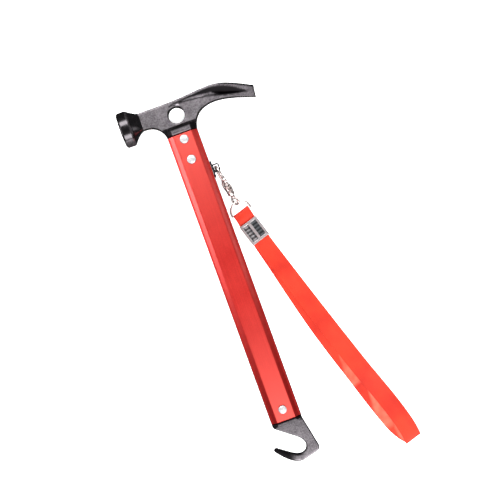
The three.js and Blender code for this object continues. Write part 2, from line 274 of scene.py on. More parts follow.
def turned(profile: Sequence[Point], sides: int = 48) -> Solid:
    """Turns a profile about the X axis."""
    t = np.linspace(0, 2 * math.pi, sides, endpoint=False)
    return loft([np.column_stack([np.full(sides, x), r * np.cos(t), r * np.sin(t)]) for x, r in profile])


def swept(path: Array, radius: float, sides: int = 16, around: bool = False) -> Solid:
    """Sweeps a round wire along a path.

    Args:
        path: the wire's centreline.
        radius: of the wire.
        sides: number of points round the wire.
        around: whether the path returns to its start.

    Returns:
        The wire.
    """
    t = np.linspace(0, 2 * math.pi, sides, endpoint=False)
    after = np.roll(path, -1, axis=0) if around else np.vstack([path[1:], path[-1:]])
    before = np.roll(path, 1, axis=0) if around else np.vstack([path[:1], path[:-1]])
    along = after - before
    along /= np.linalg.norm(along, axis=1)[:, None]
    start = np.array([0.0, 0.0, 1.0])
    if abs(along[0] @ start) > 0.9:
        start = np.array([0.0, 1.0, 0.0])
    rings = []
    for p, d in zip(path, along):
        start = start - (start @ d) * d
        start /= np.linalg.norm(start)
        side = np.cross(d, start)
        rings.append(p + radius * (np.outer(np.cos(t), start) + np.outer(np.sin(t), side)))
    return loft(rings, around)


def evened(points: Array, step: float) -> Array:
    """Spaces the points of an open line evenly.

    Args:
        points: the line's points.
        step: the wished spacing.

    Returns:
        Evenly spaced points on the same line.
    """
    lengths = np.concatenate([[0], np.cumsum(np.linalg.norm(np.diff(points, axis=0), axis=1))])
    places = np.linspace(0, lengths[-1], max(2, round(lengths[-1] / step)) + 1)
    return np.column_stack([np.interp(places, lengths, column) for column in points.T])


def straight(start: Point, end: Point, step: float) -> Array:
    """Draws a straight mark with evenly spaced points."""
    return evened(np.array([start, end]), step)


def fade(value: Array, start: float, end: float) -> Array:
    """Runs from nothing at one value to one at another."""
    return np.clip((value - start) / (end - start), 0, 1)


def even(half: float) -> Callable[[Array, Array], Array]:
    """Gives the height field of a plate with one half thickness."""
    return lambda x, y: np.full(len(x), half)


@dataclass
class Plate:
    """A plate whose two faces are height fields over one outline, with rounded edges.

    Attributes:
        outline: counter-clockwise outer loop.
        half: half thickness at given X and Y.
        edge: radius of the rounded edges.
        step: spacing of the points on the faces.
        holes: loops that are cut out.
        marks: lines that the mesh follows, where a face has a crease.
        back: half thickness of the back, where it isn't the front's.
    """

    outline: Array
    half: Callable[[Array, Array], Array]
    edge: float
    step: float = 1.4
    holes: Sequence[Array] = ()
    marks: Sequence[Array] = ()
    back: Callable[[Array, Array], Array] | None = None

    def edge_distance(self, points: Array) -> Array:
        """Measures how far points are from the nearest edge."""
        return np.min([distance_to(loop, points) for loop in (self.outline, *self.holes)], axis=0)

    def within(self, points: Array) -> Array:
        """Tells which points are on the plate.

        Args:
            points: the points to test.

        Returns:
            One truth value for each point.
        """
        found = inside(self.outline, points)
        for hole in self.holes:
            found &= ~inside(hole, points)
        return found

    def face_points(self) -> Array:
        """Chooses the points between the edges.

        Returns:
            Points on rings inside the edges, on the marks and on a grid.
        """
        chosen: list[Array] = []
        for place, loop in enumerate((self.outline, *self.holes)):
            side = np.roll(loop, -1, axis=0) - np.roll(loop, 1, axis=0)
            side /= np.linalg.norm(side, axis=1)[:, None]
            inward = np.column_stack([-side[:, 1], side[:, 0]]) * (1 if place == 0 else -1)
            for angle in (28, 52, 74, 90):
                depth = self.edge * (1 - math.cos(math.radians(angle)))
                ring = loop + inward * depth
                keep = self.within(ring)
                ring = ring[keep]
                chosen.append(ring[self.edge_distance(ring) > 0.85 * depth])
        for mark in self.marks:
            on = mark[self.within(mark)]
            chosen.append(on[self.edge_distance(on) > 0.12])
        fixed = np.vstack(chosen)
        low, high = self.outline.min(0), self.outline.max(0)
        rows = []
        for k, y in enumerate(np.arange(low[1], high[1], self.step * 0.87)):
            x = np.arange(low[0] + (k % 2) * self.step / 2, high[0], self.step)
            rows.append(np.column_stack([x, np.full(len(x), y)]))
        grid = np.vstack(rows)
        grid = grid[self.within(grid)]
        grid = grid[self.edge_distance(grid) > self.edge + 0.35 * self.step]
        clear = np.array([np.min(np.hypot(*(fixed - p).T)) for p in grid]) > 0.45 * self.step
        return np.vstack([fixed, grid[clear]])

    def solid(self) -> Solid:
        """Makes the plate.

        Returns:
            The closed plate, about Z = 0.
        """
        loops = [self.outline, *self.holes]
        flat = np.vstack([*loops, self.face_points()])
        edges, start = [], 0
        for loop in loops:
            edges += [(start + i, start + (i + 1) % len(loop)) for i in range(len(loop))]
            start += len(loop)
        found = delaunay_2d_cdt([Vector(p) for p in flat], edges, [], 0, 1e-5)
        points = np.array([tuple(v) for v in found[0]])
        triangles = [tuple(t) for t in found[2]]
        middles = np.array([points[list(t)].mean(0) for t in triangles])
        keep = self.within(middles)
        triangles = [t for t, k in zip(triangles, keep) if k]
        depth = np.minimum(self.edge_distance(points), self.edge)
        drop = self.edge - np.sqrt(np.maximum(0, self.edge**2 - (self.edge - depth) ** 2))
        x, y = points.T
        front = self.half(x, y) - drop
        back = (self.back or self.half)(x, y) - drop
        count = len(points)
        body = np.vstack([np.column_stack([points, front]), np.column_stack([points, -back])])
        uses = {pair: None for t in triangles for pair in zip(t, (*t[1:], t[0]))}
        faces: Faces = list(triangles) + [(a + count, c + count, b + count) for a, b, c in triangles]
        for a, b in uses:
            if (b, a) not in uses:
                faces.append((b, a, a + count, b + count))
        return Solid(body, faces)


def make(name: str, solid: Solid, sharp: float = SHARP_ANGLE) -> bpy.types.Object:
    """Turns a solid in the hammer frame into an object in the CAD frame.

    Args:
        name: the piece's name.
        solid: its mesh in millimetres.
        sharp: edges that turn by more than this stay crisp.

    Returns:
        The object.
    """
    mesh = bpy.data.meshes.new(name)
    mesh.from_pydata((solid.points * MM + np.array(ORIGIN)).tolist(), [], solid.faces)
    if solid.tape is not None:
        layer = mesh.attributes.new("tape", "FLOAT_VECTOR", "POINT")
        layer.data.foreach_set("vector", solid.tape.astype(np.float32).ravel())
    piece = bpy.data.objects.new(name, mesh)
    bpy.context.scene.collection.objects.link(piece)
    finish_mesh(piece, sharp)
    return piece


def finish_mesh(piece: bpy.types.Object, sharp: float = SHARP_ANGLE) -> None:
    """Cleans a piece's mesh and shades it smooth up to an angle.

    Args:
        piece: the piece.
        sharp: edges that turn by more than this stay crisp.
    """
    work = bmesh.new()
    work.from_mesh(piece.data)
    bmesh.ops.remove_doubles(work, verts=work.verts, dist=2e-6)
    bmesh.ops.dissolve_degenerate(work, edges=work.edges, dist=1e-7)
    loose = [v for v in work.verts if not v.link_faces]
    bmesh.ops.delete(work, geom=loose, context="VERTS")
    bmesh.ops.recalc_face_normals(work, faces=work.faces)
    work.to_mesh(piece.data)
    work.free()
    piece.data.shade_smooth()
    piece.data.set_sharp_from_angle(angle=sharp)


def worked(
    piece: bpy.types.Object, tools: Sequence[Solid], cut: Cut, sharp: float = SHARP_ANGLE
) -> None:
    """Joins other solids to a piece, or cuts them out of it.

    Args:
        piece: the piece.
        tools: the other solids.
        cut: whether they are joined or cut out.
        sharp: edges that turn by more than this stay crisp.
    """
    for number, solid in enumerate(tools):
        tool = make(f"{piece.name}_tool{number}", solid)
        step = piece.modifiers.new("work", "BOOLEAN")
        step.operation = cut.value
        step.solver = "EXACT"
        step.object = tool
        graph = bpy.context.evaluated_depsgraph_get()
        made = bpy.data.meshes.new_from_object(piece.evaluated_get(graph))
        piece.modifiers.remove(step)
        old = piece.data
        piece.data = made
        bpy.data.meshes.remove(old)
        spare = tool.data
        bpy.data.objects.remove(tool)
        bpy.data.meshes.remove(spare)
    finish_mesh(piece, sharp)


def painted_light(piece: bpy.types.Object, amount: Callable[[Array], Array]) -> None:
    """Marks where a piece gets painted shade (above zero) or a painted highlight (below zero).

    Args:
        piece: the piece.
        amount: gives the amounts for points in the hammer frame, in millimetres.
    """
    mesh = piece.data
    places = np.empty(len(mesh.vertices) * 3)
    mesh.vertices.foreach_get("co", places)
    points = (places.reshape(-1, 3) - np.array(ORIGIN)) / MM
    layer = mesh.attributes.new("painted_light", "FLOAT", "POINT")
    layer.data.foreach_set("value", amount(points).astype(np.float32))


def settle(
    piece: bpy.types.Object, finish: "Finish", body: Body, nodes: Sequence[str]
) -> bpy.types.Object:
    """Gives a piece its finish, its body and the CAD nodes that it stands for.

    Args:
        piece: the piece.
        finish: its finish.
        body: what it rides on.
        nodes: the CAD nodes that it replaces.

    Returns:
        The piece.
    """
    piece.data.materials.clear()
    piece.data.materials.append(finish.material())
    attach(piece, body.value)
    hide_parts(*nodes)
    LOG.info("%s: %d faces, rides on %s", piece.name, len(piece.data.polygons), body.value)
    return piece


# ---------------------------------------------------------------- finishes
class NodeBoard:
    """Short ways to lay out one material's nodes."""

    def __init__(self, name: str) -> None:
        """Starts a material with its surface shader.

        Args:
            name: the material's name.
        """
        self.made = bpy.data.materials.new(name)
        self.made.use_nodes = True
        self.tree = self.made.node_tree
        self.tree.nodes.clear()
        self.shader = self.add("ShaderNodeBsdfPrincipled")
        output = self.add("ShaderNodeOutputMaterial")
        self.tree.links.new(self.shader.outputs["BSDF"], output.inputs["Surface"])
        self.place = self.add("ShaderNodeTexCoord").outputs["Object"]

    def add(self, kind: str, **settings: object) -> bpy.types.Node:
        """Adds a node and sets its properties.

        Args:
            kind: the node's kind.
            settings: its properties.

        Returns:
            The node.
        """
        node = self.tree.nodes.new(kind)
        for key, value in settings.items():
            setattr(node, key, value)
        return node

    def plug(self, value: object, socket: Socket) -> None:
        """Links an output to a socket, or sets the socket to a plain value.

        Args:
            value: the output or the plain value.
            socket: the input that takes it.
        """
        if isinstance(value, Socket):
            self.tree.links.new(value, socket)
        else:
            socket.default_value = value

    def attribute(self, name: str, output: str = "Fac") -> Socket:
        """Reads an attribute of the mesh's points."""
        return self.add("ShaderNodeAttribute", attribute_name=name).outputs[output]

    def split(self, vector: Socket) -> list[Socket]:
        """Splits a vector.

        Args:
            vector: what is split.

        Returns:
            Its X, Y and Z.
        """
        node = self.add("ShaderNodeSeparateXYZ")
        self.plug(vector, node.inputs["Vector"])
        return list(node.outputs)

    def facing(self) -> Socket:
        """Tells how level the surface is, from 0 for a wall to 1 for a flat."""
        normal = self.add("ShaderNodeNewGeometry").outputs["Normal"]
        return self.math("ABSOLUTE", self.split(normal)[2])

    def stretched(self, scale: Triple) -> Socket:
        """Scales the place on the piece.

        Args:
            scale: along X, Y and Z.

        Returns:
            The scaled place.
        """
        node = self.add("ShaderNodeMapping")
        self.plug(self.place, node.inputs["Vector"])
        node.inputs["Scale"].default_value = scale
        return node.outputs["Vector"]

    def noise(self, scale: float, detail: float = 3.0, at: Socket | None = None) -> Socket:
        """Makes a noise.

        Args:
            scale: features for each metre.
            detail: number of finer layers.
            at: where it is read, or the place on the piece.

        Returns:
            A value around one half.
        """
        node = self.add("ShaderNodeTexNoise")
        node.inputs["Scale"].default_value = scale
        node.inputs["Detail"].default_value = detail
        self.plug(self.place if at is None else at, node.inputs["Vector"])
        return node.outputs["Fac"]

    def range(self, value: Socket, low: float, high: float, to_low: float = 0.0, to_high: float = 1.0) -> Socket:
        """Maps a value from one range to another, held within its ends.

        Args:
            value: what is mapped.
            low: where the first range starts.
            high: where it ends.
            to_low: the result at the start.
            to_high: the result at the end.

        Returns:
            The mapped value.
        """
        node = self.add("ShaderNodeMapRange")
        self.plug(value, node.inputs["Value"])
        for name, number in zip(("From Min", "From Max", "To Min", "To Max"), (low, high, to_low, to_high)):
            node.inputs[name].default_value = number
        return node.outputs["Result"]

    def math(self, operation: str, first: object, *others: object) -> Socket:
        """Works out one sum, from left to right.

        Args:
            operation: the sum's name.
            first: the first value.
            others: the values after it, or none where the sum takes one.

        Returns:
            The result.
        """
        result = first
        for other in others or (0.0,):
            node = self.add("ShaderNodeMath", operation=operation)
            self.plug(result, node.inputs[0])
            self.plug(other, node.inputs[1])
            result = node.outputs["Value"]
        return result

    def mix(self, share: Socket, a: object, b: object) -> Socket:
        """Mixes two colours.

        Args:
            share: how much of the second one.
            a: first colour.
            b: second colour.

        Returns:
            The mixed colour.
        """
        node = self.add("ShaderNodeMix", data_type="RGBA")
        self.plug(share, node.inputs["Factor"])
        for value, socket in ((a, node.inputs[6]), (b, node.inputs[7])):
            self.plug(value if isinstance(value, Socket) else (*value, 1.0), socket)
        return node.outputs[2]

    def edges(self, low: float, high: float) -> Socket:
        """Finds the worn edges."""
        sharp = self.add("ShaderNodeNewGeometry").outputs["Pointiness"]
        return self.math("MULTIPLY", self.range(sharp, low, high), self.range(self.noise(900.0), 0.42, 0.6))

    def bump(self, height: Socket, strength: float, distance: float) -> None:
        """Presses a height into the surface.

        Args:
            height: the height value.
            strength: share of the effect.
            distance: the height's depth in metres.
        """
        node = self.add("ShaderNodeBump")
        node.inputs["Strength"].default_value = strength
        node.inputs["Distance"].default_value = distance
        self.plug(height, node.inputs["Height"])
        self.tree.links.new(node.outputs["Normal"], self.shader.inputs["Normal"])

    def set(self, **values: object) -> None:
        """Sets the shader's sockets, with underscores for the spaces in their names."""
        for key, value in values.items():
            self.plug(value, self.shader.inputs[key.replace("_", " ")])


class Finish:
    """A finish that makes its material once."""

    made: dict[str, bpy.types.Material] = {}

    def material(self) -> bpy.types.Material:
        """Makes the finish's material on first use.

        Returns:
            The material.
        """
        name = type(self).__name__
        if name not in Finish.made:
            board = NodeBoard(name)
            self.lay_out(board)
            Finish.made[name] = board.made
        return Finish.made[name]

    def lay_out(self, board: NodeBoard) -> None:
        """Lays out the material's nodes."""
        raise NotImplementedError


@dataclass(frozen=True)
class ForgedBlack(Finish):
    """Blackened steel: blasted flats, a smoother neck and face and bare edges, with painted shade on sloped faces and
    hollows and a painted highlight on the disc.
    """

    base: Triple = (0.25, 0.228, 0.245)
    dark: Triple = (0.128, 0.117, 0.127)
    bare: Triple = (0.36, 0.34, 0.35)
    # the neck and face's dark polished colour, also painted on the cheek's sloped faces as shade
    polished: Triple = (0.06, 0.055, 0.059)
    # near black painted as shade where the point attribute is above zero
    scale: Triple = (0.006, 0.005, 0.006)
    smooth_x: float = -29.4
    blend: float = 0.4

    def lay_out(self, board: NodeBoard) -> None:
        """Mixes the blasted and polished steel by place, paints shade on the sloped faces and where the point
        attribute is above zero, and a highlight where it is below zero.

        Args:
            board: where the nodes go.
        """
        speckle = board.math("MULTIPLY", board.noise(850.0, 2.0), 0.8)
        clouds = board.math("MULTIPLY", board.noise(160.0, 5.0), 0.5)
        patches = board.range(board.math("ADD", clouds, speckle), 0.5, 0.8)
        edge = ORIGIN.x + self.smooth_x * MM
        forged = board.range(board.split(board.place)[0], edge - self.blend * MM, edge + self.blend * MM)
        # level faces keep the blasted colour, sloped faces take the dark polished colour as painted shade
        level = board.range(board.facing(), 0.9, 0.975)
        # the point attribute: painted shade above zero, painted highlight (the satin colour) below zero
        painted_amount = board.attribute("painted_light")
        flats = board.range(board.math("SUBTRACT", board.math("MULTIPLY", forged, level), painted_amount), 0.0, 1.0)
        # share of the near-black painted shade
        scaled = board.range(painted_amount, 0.0, 1.0)
        wear = board.math("MULTIPLY", board.edges(0.53, 0.62), 0.6)
        worn = board.mix(wear, board.mix(patches, self.base, self.dark), self.bare)
        board.set(Base_Color=board.mix(scaled, board.mix(flats, self.polished, worn), self.scale), Metallic=0.92)
        grain = board.noise(2600.0, 2.0)
        blasted = board.range(flats, 0.0, 1.0, 0.5, 1.0)
        rough = board.math("MULTIPLY", board.range(grain, 0.3, 0.7, 0.38, 0.5), blasted)
        board.set(Roughness=board.math("ADD", rough, board.math("MULTIPLY", scaled, 0.3)))
        relief = board.math("ADD", grain, board.noise(800.0, 3.0))
        board.bump(board.math("MULTIPLY", relief, blasted), 0.3, 0.00005)


@dataclass(frozen=True)
class RedAnodised(Finish):
    """Blasted aluminium anodised red, with a painted highlight on the ends of its flats and painted shade on its
    sloped faces towards the tail.
    """

    base: Triple = (1.0, 0.044, 0.032)
    deep: Triple = (0.86, 0.022, 0.016)
    # paler colour painted on the level faces near both ends as a highlight
    highlight_colour: Triple = (1.0, 0.1, 0.078)
    # darker colour painted on the sloped faces towards the tail as shade
    shade_colour: Triple = (0.66, 0.008, 0.007)
    worn: Triple = (0.95, 0.3, 0.25)
    # middle of the handle, between the painted highlights at its ends
    middle: float = -126.0

    def lay_out(self, board: NodeBoard) -> None:
        """Mixes the dye by the drawn grain, and paints highlight and shade by how level the face is and by the place
        along the handle.

        Args:
            board: where the nodes go.
        """
        drawn = board.noise(1.0, 4.0, board.stretched((900.0, 14.0, 900.0)))
        speckle = board.math("MULTIPLY", board.noise(800.0, 2.0), 0.7)
        share = board.range(board.math("ADD", drawn, board.noise(45.0, 4.0), speckle), 1.1, 1.6)
        level = board.range(board.facing(), 0.9, 0.99)
        place = board.math("SUBTRACT", board.split(board.place)[1], ORIGIN.y + self.middle * MM)
        # painted highlight on the level faces towards both ends
        ends = board.range(board.math("ABSOLUTE", place), 0.02, 0.115)
        low = board.range(place, -0.11, 0.0, 1.0, 0.0)
        flats = board.math("MULTIPLY", level, ends)
        # painted shade on the sloped faces towards the tail
        shaded_slopes = board.math("MULTIPLY", board.math("SUBTRACT", 1.0, level), low, 0.85)
        dye_and_light = board.mix(flats, board.mix(share, self.base, self.deep), self.highlight_colour)
        dye_and_light = board.mix(shaded_slopes, dye_and_light, self.shade_colour)
        wear = board.math("MULTIPLY", board.edges(0.54, 0.64), 0.3)
        board.set(Base_Color=board.mix(wear, dye_and_light, self.worn))
        grain = board.noise(3800.0, 2.0)
        board.set(Metallic=0.95, Roughness=board.range(grain, 0.3, 0.7, 0.4, 0.5))
        board.set(Coat_Weight=1.0, Coat_Roughness=0.34, Coat_IOR=1.65)
        board.bump(grain, 0.25, 0.00004)


@dataclass(frozen=True)
class BrightMetal(Finish):
    """Polished nickel plating with fine hairlines."""

    base: Triple = (0.74, 0.67, 0.65)
    dull: Triple = (0.55, 0.47, 0.45)

    def lay_out(self, board: NodeBoard) -> None:
        """Smears the plating and draws the hairlines.

        Args:
            board: where the nodes go.
        """
        smears = board.range(board.noise(420.0, 5.0), 0.4, 0.68)
        lines = board.noise(1.0, 3.0, board.stretched((5200.0, 700.0, 5200.0)))
        board.set(Base_Color=board.mix(smears, self.base, self.dull), Metallic=0.88)
        board.set(Roughness=board.range(lines, 0.3, 0.7, 0.3, 0.42))
        board.bump(lines, 0.12, 0.00002)


@dataclass(frozen=True)
class RivetMetal(Finish):
    """Peened aluminium rivet heads with small hammer marks."""

    base: Triple = (0.86, 0.85, 0.86)
    dull: Triple = (0.62, 0.62, 0.64)
    shade: Triple = (0.16, 0.12, 0.13)

    def lay_out(self, board: NodeBoard) -> None:
        """Dents the heads and paints shade on their rims.

        Args:
            board: where the nodes go.
        """
        marks = board.add("ShaderNodeTexVoronoi")
        marks.inputs["Scale"].default_value = 620.0
        board.plug(board.place, marks.inputs["Vector"])
        dents = marks.outputs["Distance"]
        # painted shade on the rims, by how far the surface tilts
        rim = board.range(board.facing(), 0.45, 0.9, 0.85, 0.0)
        peened = board.mix(board.range(dents, 0.1, 0.7), self.base, self.dull)
        board.set(Base_Color=board.mix(rim, peened, self.shade), Metallic=0.5)
        board.set(Roughness=board.range(board.noise(1500.0), 0.3, 0.7, 0.3, 0.42))
        board.bump(dents, 0.25, 0.00012)


@dataclass(frozen=True)
class BlackTrim(Finish):
    """Black painted steel with orange-peel texture."""

    base: Triple = (0.012, 0.011, 0.012)
    worn: Triple = (0.09, 0.085, 0.085)

    def lay_out(self, board: NodeBoard) -> None:
        """Wears the edges and raises the orange peel.

        Args:
            board: where the nodes go.
        """
        board.set(Base_Color=board.mix(board.edges(0.55, 0.68), self.base, self.worn))
        peel = board.noise(1400.0, 2.0)
        board.set(Metallic=0.2, Roughness=board.range(peel, 0.3, 0.7, 0.35, 0.55))
        board.bump(peel, 0.3, 0.00005)


@dataclass(frozen=True)
class SpringSteel(Finish):
    """Drawn spring wire with a straw tint."""

    base: Triple = (0.62, 0.6, 0.55)
    tint: Triple = (0.5, 0.42, 0.3)

    def lay_out(self, board: NodeBoard) -> None:
        """Tints the wire and gives it a fine tooth.

        Args:
            board: where the nodes go.
        """
        share = board.range(board.noise(700.0, 4.0), 0.4, 0.65)
        board.set(Base_Color=board.mix(share, self.base, self.tint), Metallic=1.0)
        tooth = board.noise(4000.0)
        board.set(Roughness=board.range(tooth, 0.3, 0.7, 0.22, 0.4))
        board.bump(tooth, 0.15, 0.00002)


@dataclass(frozen=True)
class StampedMetal(Finish):
    """Plated sheet metal with shallow brushing, and painted shade in its hollows and pressed windows."""

    base: Triple = (0.72, 0.65, 0.66)
    dull: Triple = (0.48, 0.42, 0.43)
    # near black painted as shade on the pressed windows' floors
    black: Triple = (0.04, 0.042, 0.046)

    def lay_out(self, board: NodeBoard) -> None:
        """Paints shade into the hollows and onto the window floors that the point attribute picks, and draws the
        brushing.

        Args:
            board: where the nodes go.
        """
        sharp = board.add("ShaderNodeNewGeometry").outputs["Pointiness"]
        smears = board.range(board.noise(500.0, 4.0), 0.35, 0.7, 0.0, 0.5)
        # the hollows take the dull colour as painted shade; the smears vary the tone at random
        share = board.math("MAXIMUM", board.range(sharp, 0.42, 0.5, 1.0, 0.0), smears)
        plated = board.mix(share, self.base, self.dull)
        lines = board.noise(1.0, 3.0, board.stretched((4200.0, 500.0, 4200.0)))
        # the window floors take near black as painted shade
        board.set(Base_Color=board.mix(board.attribute("painted_light"), plated, self.black), Metallic=0.8)
        board.set(Roughness=board.range(lines, 0.3, 0.7, 0.3, 0.44))
        board.bump(lines, 0.15, 0.00003)


@dataclass(frozen=True)
class WovenTape(Finish):
    """Satin woven tape: close warp ribs, fine picks across them and a firm selvedge.

    Attributes:
        base: the yarn's colour.
        deep: the darker colour painted between the yarns as shade, and in random clouds.
        sheen_colour: the paler colour painted on as a sheen highlight.
        rib: distance between warp ribs in millimetres.
        pick: distance between picks in millimetres.
        sheen_spans: where the painted sheen patches start and end along the tape, in millimetres.
        skew: how far along the start of each sheen runs for each millimetre across.
    """

    base: Triple = (0.69, 0.041, 0.0145)
    deep: Triple = (0.48, 0.013, 0.0055)
    sheen_colour: Triple = (0.84, 0.16, 0.095)
    rib: float = 0.55
    pick: float = 0.62
    sheen_spans: tuple[Point, ...] = ((183.0, 206.0), (224.0, 252.0), (256.0, 268.0))
    skew: float = 2.5

    def weave(self, board: NodeBoard, along: Socket, across: Socket) -> Socket:
        """Weaves the ribs and picks, every second column half a pick on.

        Args:
            board: where the nodes go.
            along: place along the tape.
            across: place across it.

        Returns:
            The yarns' height, from 0 to 1.
        """
        fuzz = board.math("MULTIPLY", board.math("SUBTRACT", board.noise(900.0, 3.0), 0.5), 0.5)
        column = board.math("DIVIDE", board.math("ADD", across, fuzz), self.rib)
        odd = board.math("MODULO", board.math("FLOOR", board.math("ADD", column, 100.0)), 2.0)
        row = board.math("ADD", board.math("DIVIDE", along, self.pick), board.math("MULTIPLY", odd, 0.5))
        ribs, picks = (
            board.math("ABSOLUTE", board.math("SINE", board.math("MULTIPLY", turn, math.pi))) for turn in (column, row)
        )
        picks = board.math("ADD", board.math("MULTIPLY", picks, 0.5), 0.5)
        return board.math("MULTIPLY", board.math("POWER", ribs, 0.6), picks)

    def lay_out(self, board: NodeBoard) -> None:
        """Colours the weave, with painted shade between the yarns, and paints its sheen patches pale.

        Args:
            board: where the nodes go.
        """
        along, across, _ = board.split(board.attribute("tape", "Vector"))
        weave = self.weave(board, along, across)
        clouds = board.range(board.noise(34.0, 4.0), 0.34, 0.62, 0.0, 0.55)
        # gaps between the yarns take the deep colour as painted shade; the clouds vary the tone at random
        shade = board.range(board.math("ADD", board.math("MULTIPLY", weave, 0.55), clouds), 0.15, 0.95)
        skewed = board.math("ADD", along, board.math("MULTIPLY", across, self.skew))
        patches: object = 0.0
        for start, end in self.sheen_spans:
            rise = board.range(skewed, start - 12.0, start - 6.0)
            sheen_patch = board.math("MULTIPLY", rise, board.range(along, end - 3.0, end, 1.0, 0.0))
            patches = board.math("MAXIMUM", patches, sheen_patch)
        # the patchy painted sheen highlight
        worn = board.math("MULTIPLY", patches, board.range(board.noise(110.0, 3.0), 0.3, 0.7, 0.35, 0.95))
        board.set(Base_Color=board.mix(worn, board.mix(shade, self.deep, self.base), self.sheen_colour))
        board.set(Roughness=board.range(weave, 0.0, 1.0, 0.62, 0.45), Specular_IOR_Level=0.3)
        board.set(Sheen_Weight=0.06, Sheen_Roughness=0.35, Sheen_Tint=(1.0, 0.55, 0.45, 1.0))
        board.bump(weave, 0.55, 0.00016)


@dataclass(frozen=True)
class PaleFloor(Finish):
    """Matt white studio floor with a faint tooth."""

    base: Triple = (0.93, 0.93, 0.93)
    dull: Triple = (0.92, 0.92, 0.92)

    def lay_out(self, board: NodeBoard) -> None:
        """Clouds the white and lets it glow.

        Args:
            board: where the nodes go.
        """
        share = board.range(board.noise(30.0, 3.0), 0.3, 0.7)
        board.set(Base_Color=board.mix(share, self.base, self.dull), Roughness=0.9, Specular_IOR_Level=0.1)
        board.set(Emission_Color=(1.0, 1.0, 1.0, 1.0), Emission_Strength=0.95)


# ---------------------------------------------------------------- handle
@dataclass
class Handle:
    """The hollow red extrusion with flats front and back, and its rivets.

    Attributes:
        length: of the tube.
        half_width: across X.
        half_depth: across Z.
        flat_half: half of the front flat.
        shoulder: where the sloped shoulder ends, in X and Z.
        lip: where the gentle strip beside the shoulder ends, in X and Z.
        side_z: where the side flat starts.
        wall: thickness of the extrusion.
        corner: radius of its corners.
        rivets: places of the rivets along Y.
        bore: radius of their holes.
    """

    length: float = 250.4
    half_width: float = 13.0
    half_depth: float = 8.5
    flat_half: float = 8.0
    shoulder: Point = (11.1, 5.5)
    lip: Point = (12.75, 4.85)
    side_z: float = 3.6
    wall: float = 2.0
    corner: float = 0.9
    rivets: Triple = (-5.4, -23.0, -241.5)
    bore: float = 2.1

    def section(self, inset: float, corner: float) -> Array:
        """Draws the extrusion's section in X and Z.

        Args:
            inset: how far it is drawn in.
            corner: radius of its corners.

        Returns:
            The section's points, always the same number.
        """
        slant = inset * 0.4
        right = [
            (self.half_width - inset, self.side_z - slant),
            (self.lip[0] - inset, self.lip[1] - slant),
            (self.shoulder[0] - inset, self.shoulder[1] - slant),
            (self.flat_half - slant, self.half_depth - inset),
        ]
        upper = right + [(-x, z) for x, z in reversed(right)]
        corners = np.array(upper + [(-x, -z) for x, z in upper])
        points = []
        for p, before, after in zip(corners, np.roll(corners, 1, axis=0), np.roll(corners, -1, axis=0)):
            a, b = before - p, after - p
            la, lb = np.linalg.norm(a), np.linalg.norm(b)
            a, b = a / la, b / lb
            reach = min(0.42 * la, 0.42 * lb, corner)
            start, end = p + a * reach, p + b * reach
            for t in np.linspace(0, 1, 6):
                points.append((1 - t) ** 2 * start + 2 * t * (1 - t) * p + t * t * end)
        return np.array(points)

    def ring(self, inset: float, y: float, corner: float | None = None) -> Array:
        """Places a section at one Y."""
        flat = self.section(inset, self.corner if corner is None else corner)
        return np.column_stack([flat[:, 0], np.full(len(flat), y), flat[:, 1] + MID_Z])

    def depth_at(self, x: Array) -> Array:
        """Gives the section's half depth across X.

        Args:
            x: places across the handle.

        Returns:
            The half depths.
        """
        return np.interp(
            np.abs(x),
            [0, self.flat_half, self.shoulder[0], self.lip[0], self.half_width],
            [self.half_depth, self.half_depth, self.shoulder[1], self.lip[1], self.side_z],
        )

    def tang_width(self) -> float:
        """Gives half the width of a tang inside the tube."""
        return self.half_width - self.wall - GAP

    def tang_depth(self, x: Array) -> Array:
        """Gives the half depth of a tang inside the tube.

        Args:
            x: places across the handle.

        Returns:
            The half depths.
        """
        inner = self.half_depth - self.wall - GAP
        slope = (self.half_depth - self.shoulder[1]) / (self.shoulder[0] - self.flat_half)
        return np.minimum(inner, inner - (np.abs(x) - self.flat_half + 0.8) * slope)

    def rivet_bores(self, ys: Sequence[float]) -> list[Solid]:
        """Makes the drills for some rivets."""
        drill = turned([(-12, self.bore), (12, self.bore)], 28)
        return [drill.moved(Matrix.Translation((0, y, MID_Z)) @ UPRIGHT) for y in ys]

    def tube(self) -> None:
        """Makes the hollow extrusion, with its end edges broken and its drilled holes."""
        top, bottom, bevel = -GAP, -GAP - self.length, 0.35
        rows = list(np.linspace(top - bevel, bottom + bevel, 26))
        rings = [self.ring(bevel, top), *(self.ring(0, y) for y in rows), self.ring(bevel, bottom)]
        inner = [self.ring(self.wall - 0.2, bottom), *(self.ring(self.wall, y) for y in reversed(rows))]
        rings += [*inner, self.ring(self.wall - 0.2, top)]
        piece = make("handle_extrusion", loft(rings, around=True))
        worked(piece, self.rivet_bores(self.rivets), Cut.DIFFERENCE)
        settle(piece, RedAnodised(), Body.HAMMER, ["handle_tube"])

    def rivet(self, name: str, node: str, y: float, radius: float) -> None:
        """Makes one rivet with a peened dome front and back.

        Args:
            name: the piece's name.
            node: the CAD node that it replaces.
            y: its place along the handle.
            radius: of its heads.
        """
        seat, rim, height = self.half_depth + 0.05, 0.4, 1.45
        dome = [(seat, 2.0), (seat, radius - 0.15), (seat + 0.15, radius), (seat + rim, radius)]
        for t in np.radians([18, 34, 50, 66, 80]):
            dome.append((seat + rim + (height - rim) * math.sin(t), radius * math.cos(t) ** 0.8))
        dome.append((seat + height, 0.0))
        solid = turned([(-x, r) for x, r in reversed(dome)] + dome)
        up = Matrix.Translation((0, y, MID_Z)) @ UPRIGHT
        piece = make(name, solid.moved(up), math.radians(50))
        settle(piece, RivetMetal(), Body.HAMMER, [node])


